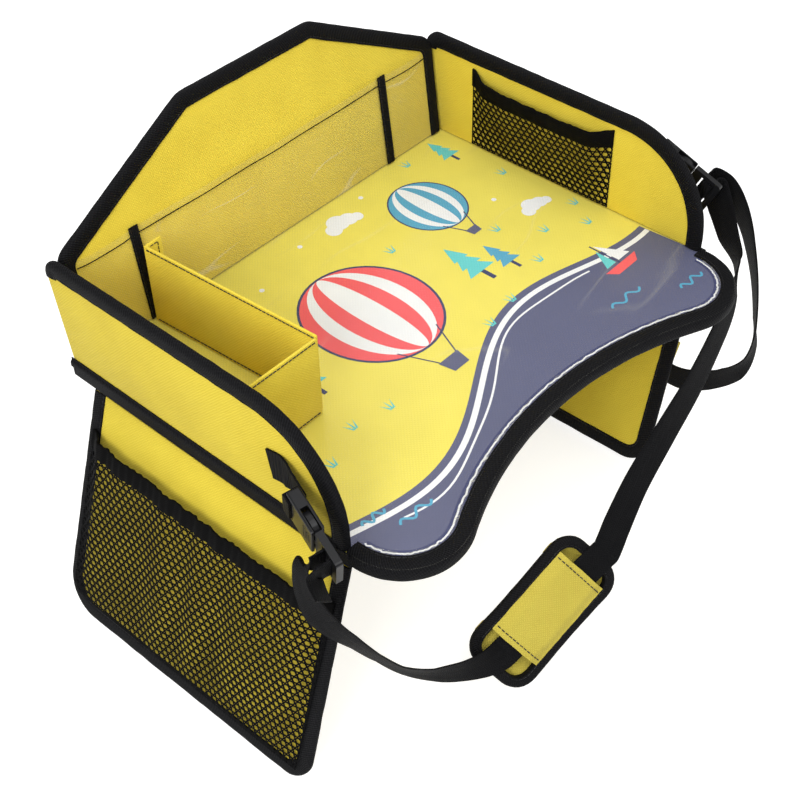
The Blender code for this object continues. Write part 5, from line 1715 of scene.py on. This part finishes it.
class TRAY_OT_stage(bpy.types.Operator):
    """Pale floor, soft studio light and a white world; the camera of the photograph is its own step"""

    bl_idname = "tray.stage"
    bl_label = "Stage"

    def execute(self, context):
        self.floor()
        self.lights()
        self.world()
        context.scene.view_settings.view_transform = "Standard"
        return {"FINISHED"}

    def floor(self):
        """A wide plane under the tray, white to the camera."""
        bm = bmesh.new()
        low = START_BOUNDS[0][2] - 0.0005
        place = Matrix.Translation((0, 0, low))
        bmesh.ops.create_grid(bm, x_segments=1, y_segments=1, size=6, matrix=place)
        mesh = bpy.data.meshes.new("Floor")
        bm.to_mesh(mesh)
        bm.free()
        ground = bpy.data.objects.new("Floor", mesh)
        bpy.context.scene.collection.objects.link(ground)
        look = bpy.data.materials.new("Pale floor")
        look.use_nodes = True
        tree = look.node_tree
        skin = tree.nodes["Principled BSDF"]
        skin.inputs["Base Color"].default_value = (0.60, 0.60, 0.60, 1)
        skin.inputs["Roughness"].default_value = 0.9
        skin.inputs["Specular IOR Level"].default_value = 0.1
        path = tree.nodes.new("ShaderNodeLightPath")
        seen = maths(tree, "MAXIMUM", path.outputs["Is Camera Ray"], path.outputs["Is Glossy Ray"])
        glow = maths(tree, "MULTIPLY", seen, 0.70)
        skin.inputs["Emission Color"].default_value = (1, 1, 1, 1)
        tree.links.new(glow, skin.inputs["Emission Strength"])
        mesh.materials.append(look)

    def lights(self):
        """Lights from the left, the front, the right, above and behind."""
        for name, place, size, power in (
            ("Left", (-1.9, -0.6, 1.30), 1.0, 30.0),
            ("Key", (-0.3, -1.1, 2.1), 1.4, 22.0),
            ("Fill", (1.4, -1.0, 1.0), 1.8, 6.0),
            ("Top", (0.1, 0.5, 2.2), 2.0, 14.0),
            ("Rear", (0.9, 1.7, 1.2), 1.4, 9.0),
        ):
            data = bpy.data.lights.new(name, "AREA")
            data.shape = "SQUARE"
            data.size = size
            data.energy = power
            lamp = bpy.data.objects.new(name, data)
            bpy.context.scene.collection.objects.link(lamp)
            aim = Vector((0, -0.02, -0.03)) - Vector(place)
            turned = aim.to_track_quat("-Z", "Y").to_matrix().to_4x4()
            lamp.matrix_world = Matrix.Translation(Vector(place)) @ turned

    def world(self):
        """Even pale light, white to the camera and in reflections."""
        world = bpy.data.worlds.new("Studio")
        world.use_nodes = True
        bpy.context.scene.world = world
        tree = world.node_tree
        back = tree.nodes["Background"]
        back.inputs["Color"].default_value = (1, 1, 1, 1)
        path = tree.nodes.new("ShaderNodeLightPath")
        seen = maths(tree, "MAXIMUM", path.outputs["Is Camera Ray"], path.outputs["Is Transmission Ray"])
        strength = maths(tree, "MULTIPLY_ADD", seen, 0.62)
        strength.node.inputs[2].default_value = 0.38
        tree.links.new(strength, back.inputs["Strength"])


class TRAY_OT_camera(bpy.types.Operator):
    """The camera at the photograph's viewing angle"""

    bl_idname = "tray.camera"
    bl_label = "Camera"

    def execute(self, context):
        data = bpy.data.cameras.new("Camera")
        data.lens = CAMERA_LENS
        data.sensor_width = 36.0
        camera = bpy.data.objects.new("Camera", data)
        context.scene.collection.objects.link(camera)
        x_axis = Vector(CAMERA_RIGHT).normalized()
        y_axis = Vector(CAMERA_UP)
        y_axis = (y_axis - x_axis * y_axis.dot(x_axis)).normalized()
        z_axis = x_axis.cross(y_axis)
        turned = Matrix((x_axis, y_axis, z_axis)).transposed().to_4x4()
        camera.matrix_world = Matrix.Translation(Vector(CAMERA_PLACE)) @ turned
        context.scene.camera = camera
        return {"FINISHED"}


class TRAY_PT_panel(bpy.types.Panel):
    """Sizes, colours and steps of the tray"""

    bl_label = "Tray"
    bl_idname = "TRAY_PT_panel"
    bl_space_type = "VIEW_3D"
    bl_region_type = "UI"
    bl_category = "Tray"

    def draw(self, context):
        for group in (context.scene.tray_sizes, context.scene.tray_colours):
            for name in group.__annotations__:
                self.layout.prop(group, name)
        for step in STEPS:
            self.layout.operator(step.bl_idname)


STEPS = (
    TRAY_OT_camera,
    TRAY_OT_strap,
    TRAY_OT_tray,
    TRAY_OT_side_walls,
    TRAY_OT_rear_wall,
    TRAY_OT_divider,
    TRAY_OT_flaps,
    TRAY_OT_pockets,
    TRAY_OT_buckles,
    TRAY_OT_pad,
    TRAY_OT_stage,
)
CLASSES = (TraySizes, TrayColours, *STEPS, TRAY_PT_panel)


def register():
    """Make the tray's settings, steps and panel known."""
    for item in CLASSES:
        bpy.utils.register_class(item)
    bpy.types.Scene.tray_sizes = PointerProperty(type=TraySizes)
    bpy.types.Scene.tray_colours = PointerProperty(type=TrayColours)


def unregister():
    """Take the tray's settings, steps and panel away again."""
    del bpy.types.Scene.tray_colours
    del bpy.types.Scene.tray_sizes
    for item in reversed(CLASSES):
        bpy.utils.unregister_class(item)


def main():
    """Build every piece in order."""
    register()
    make_looks()
    for step in STEPS:
        group, action = step.bl_idname.split(".")
        getattr(getattr(bpy.ops, group), action)()


if __name__ == "__main__":
    main()
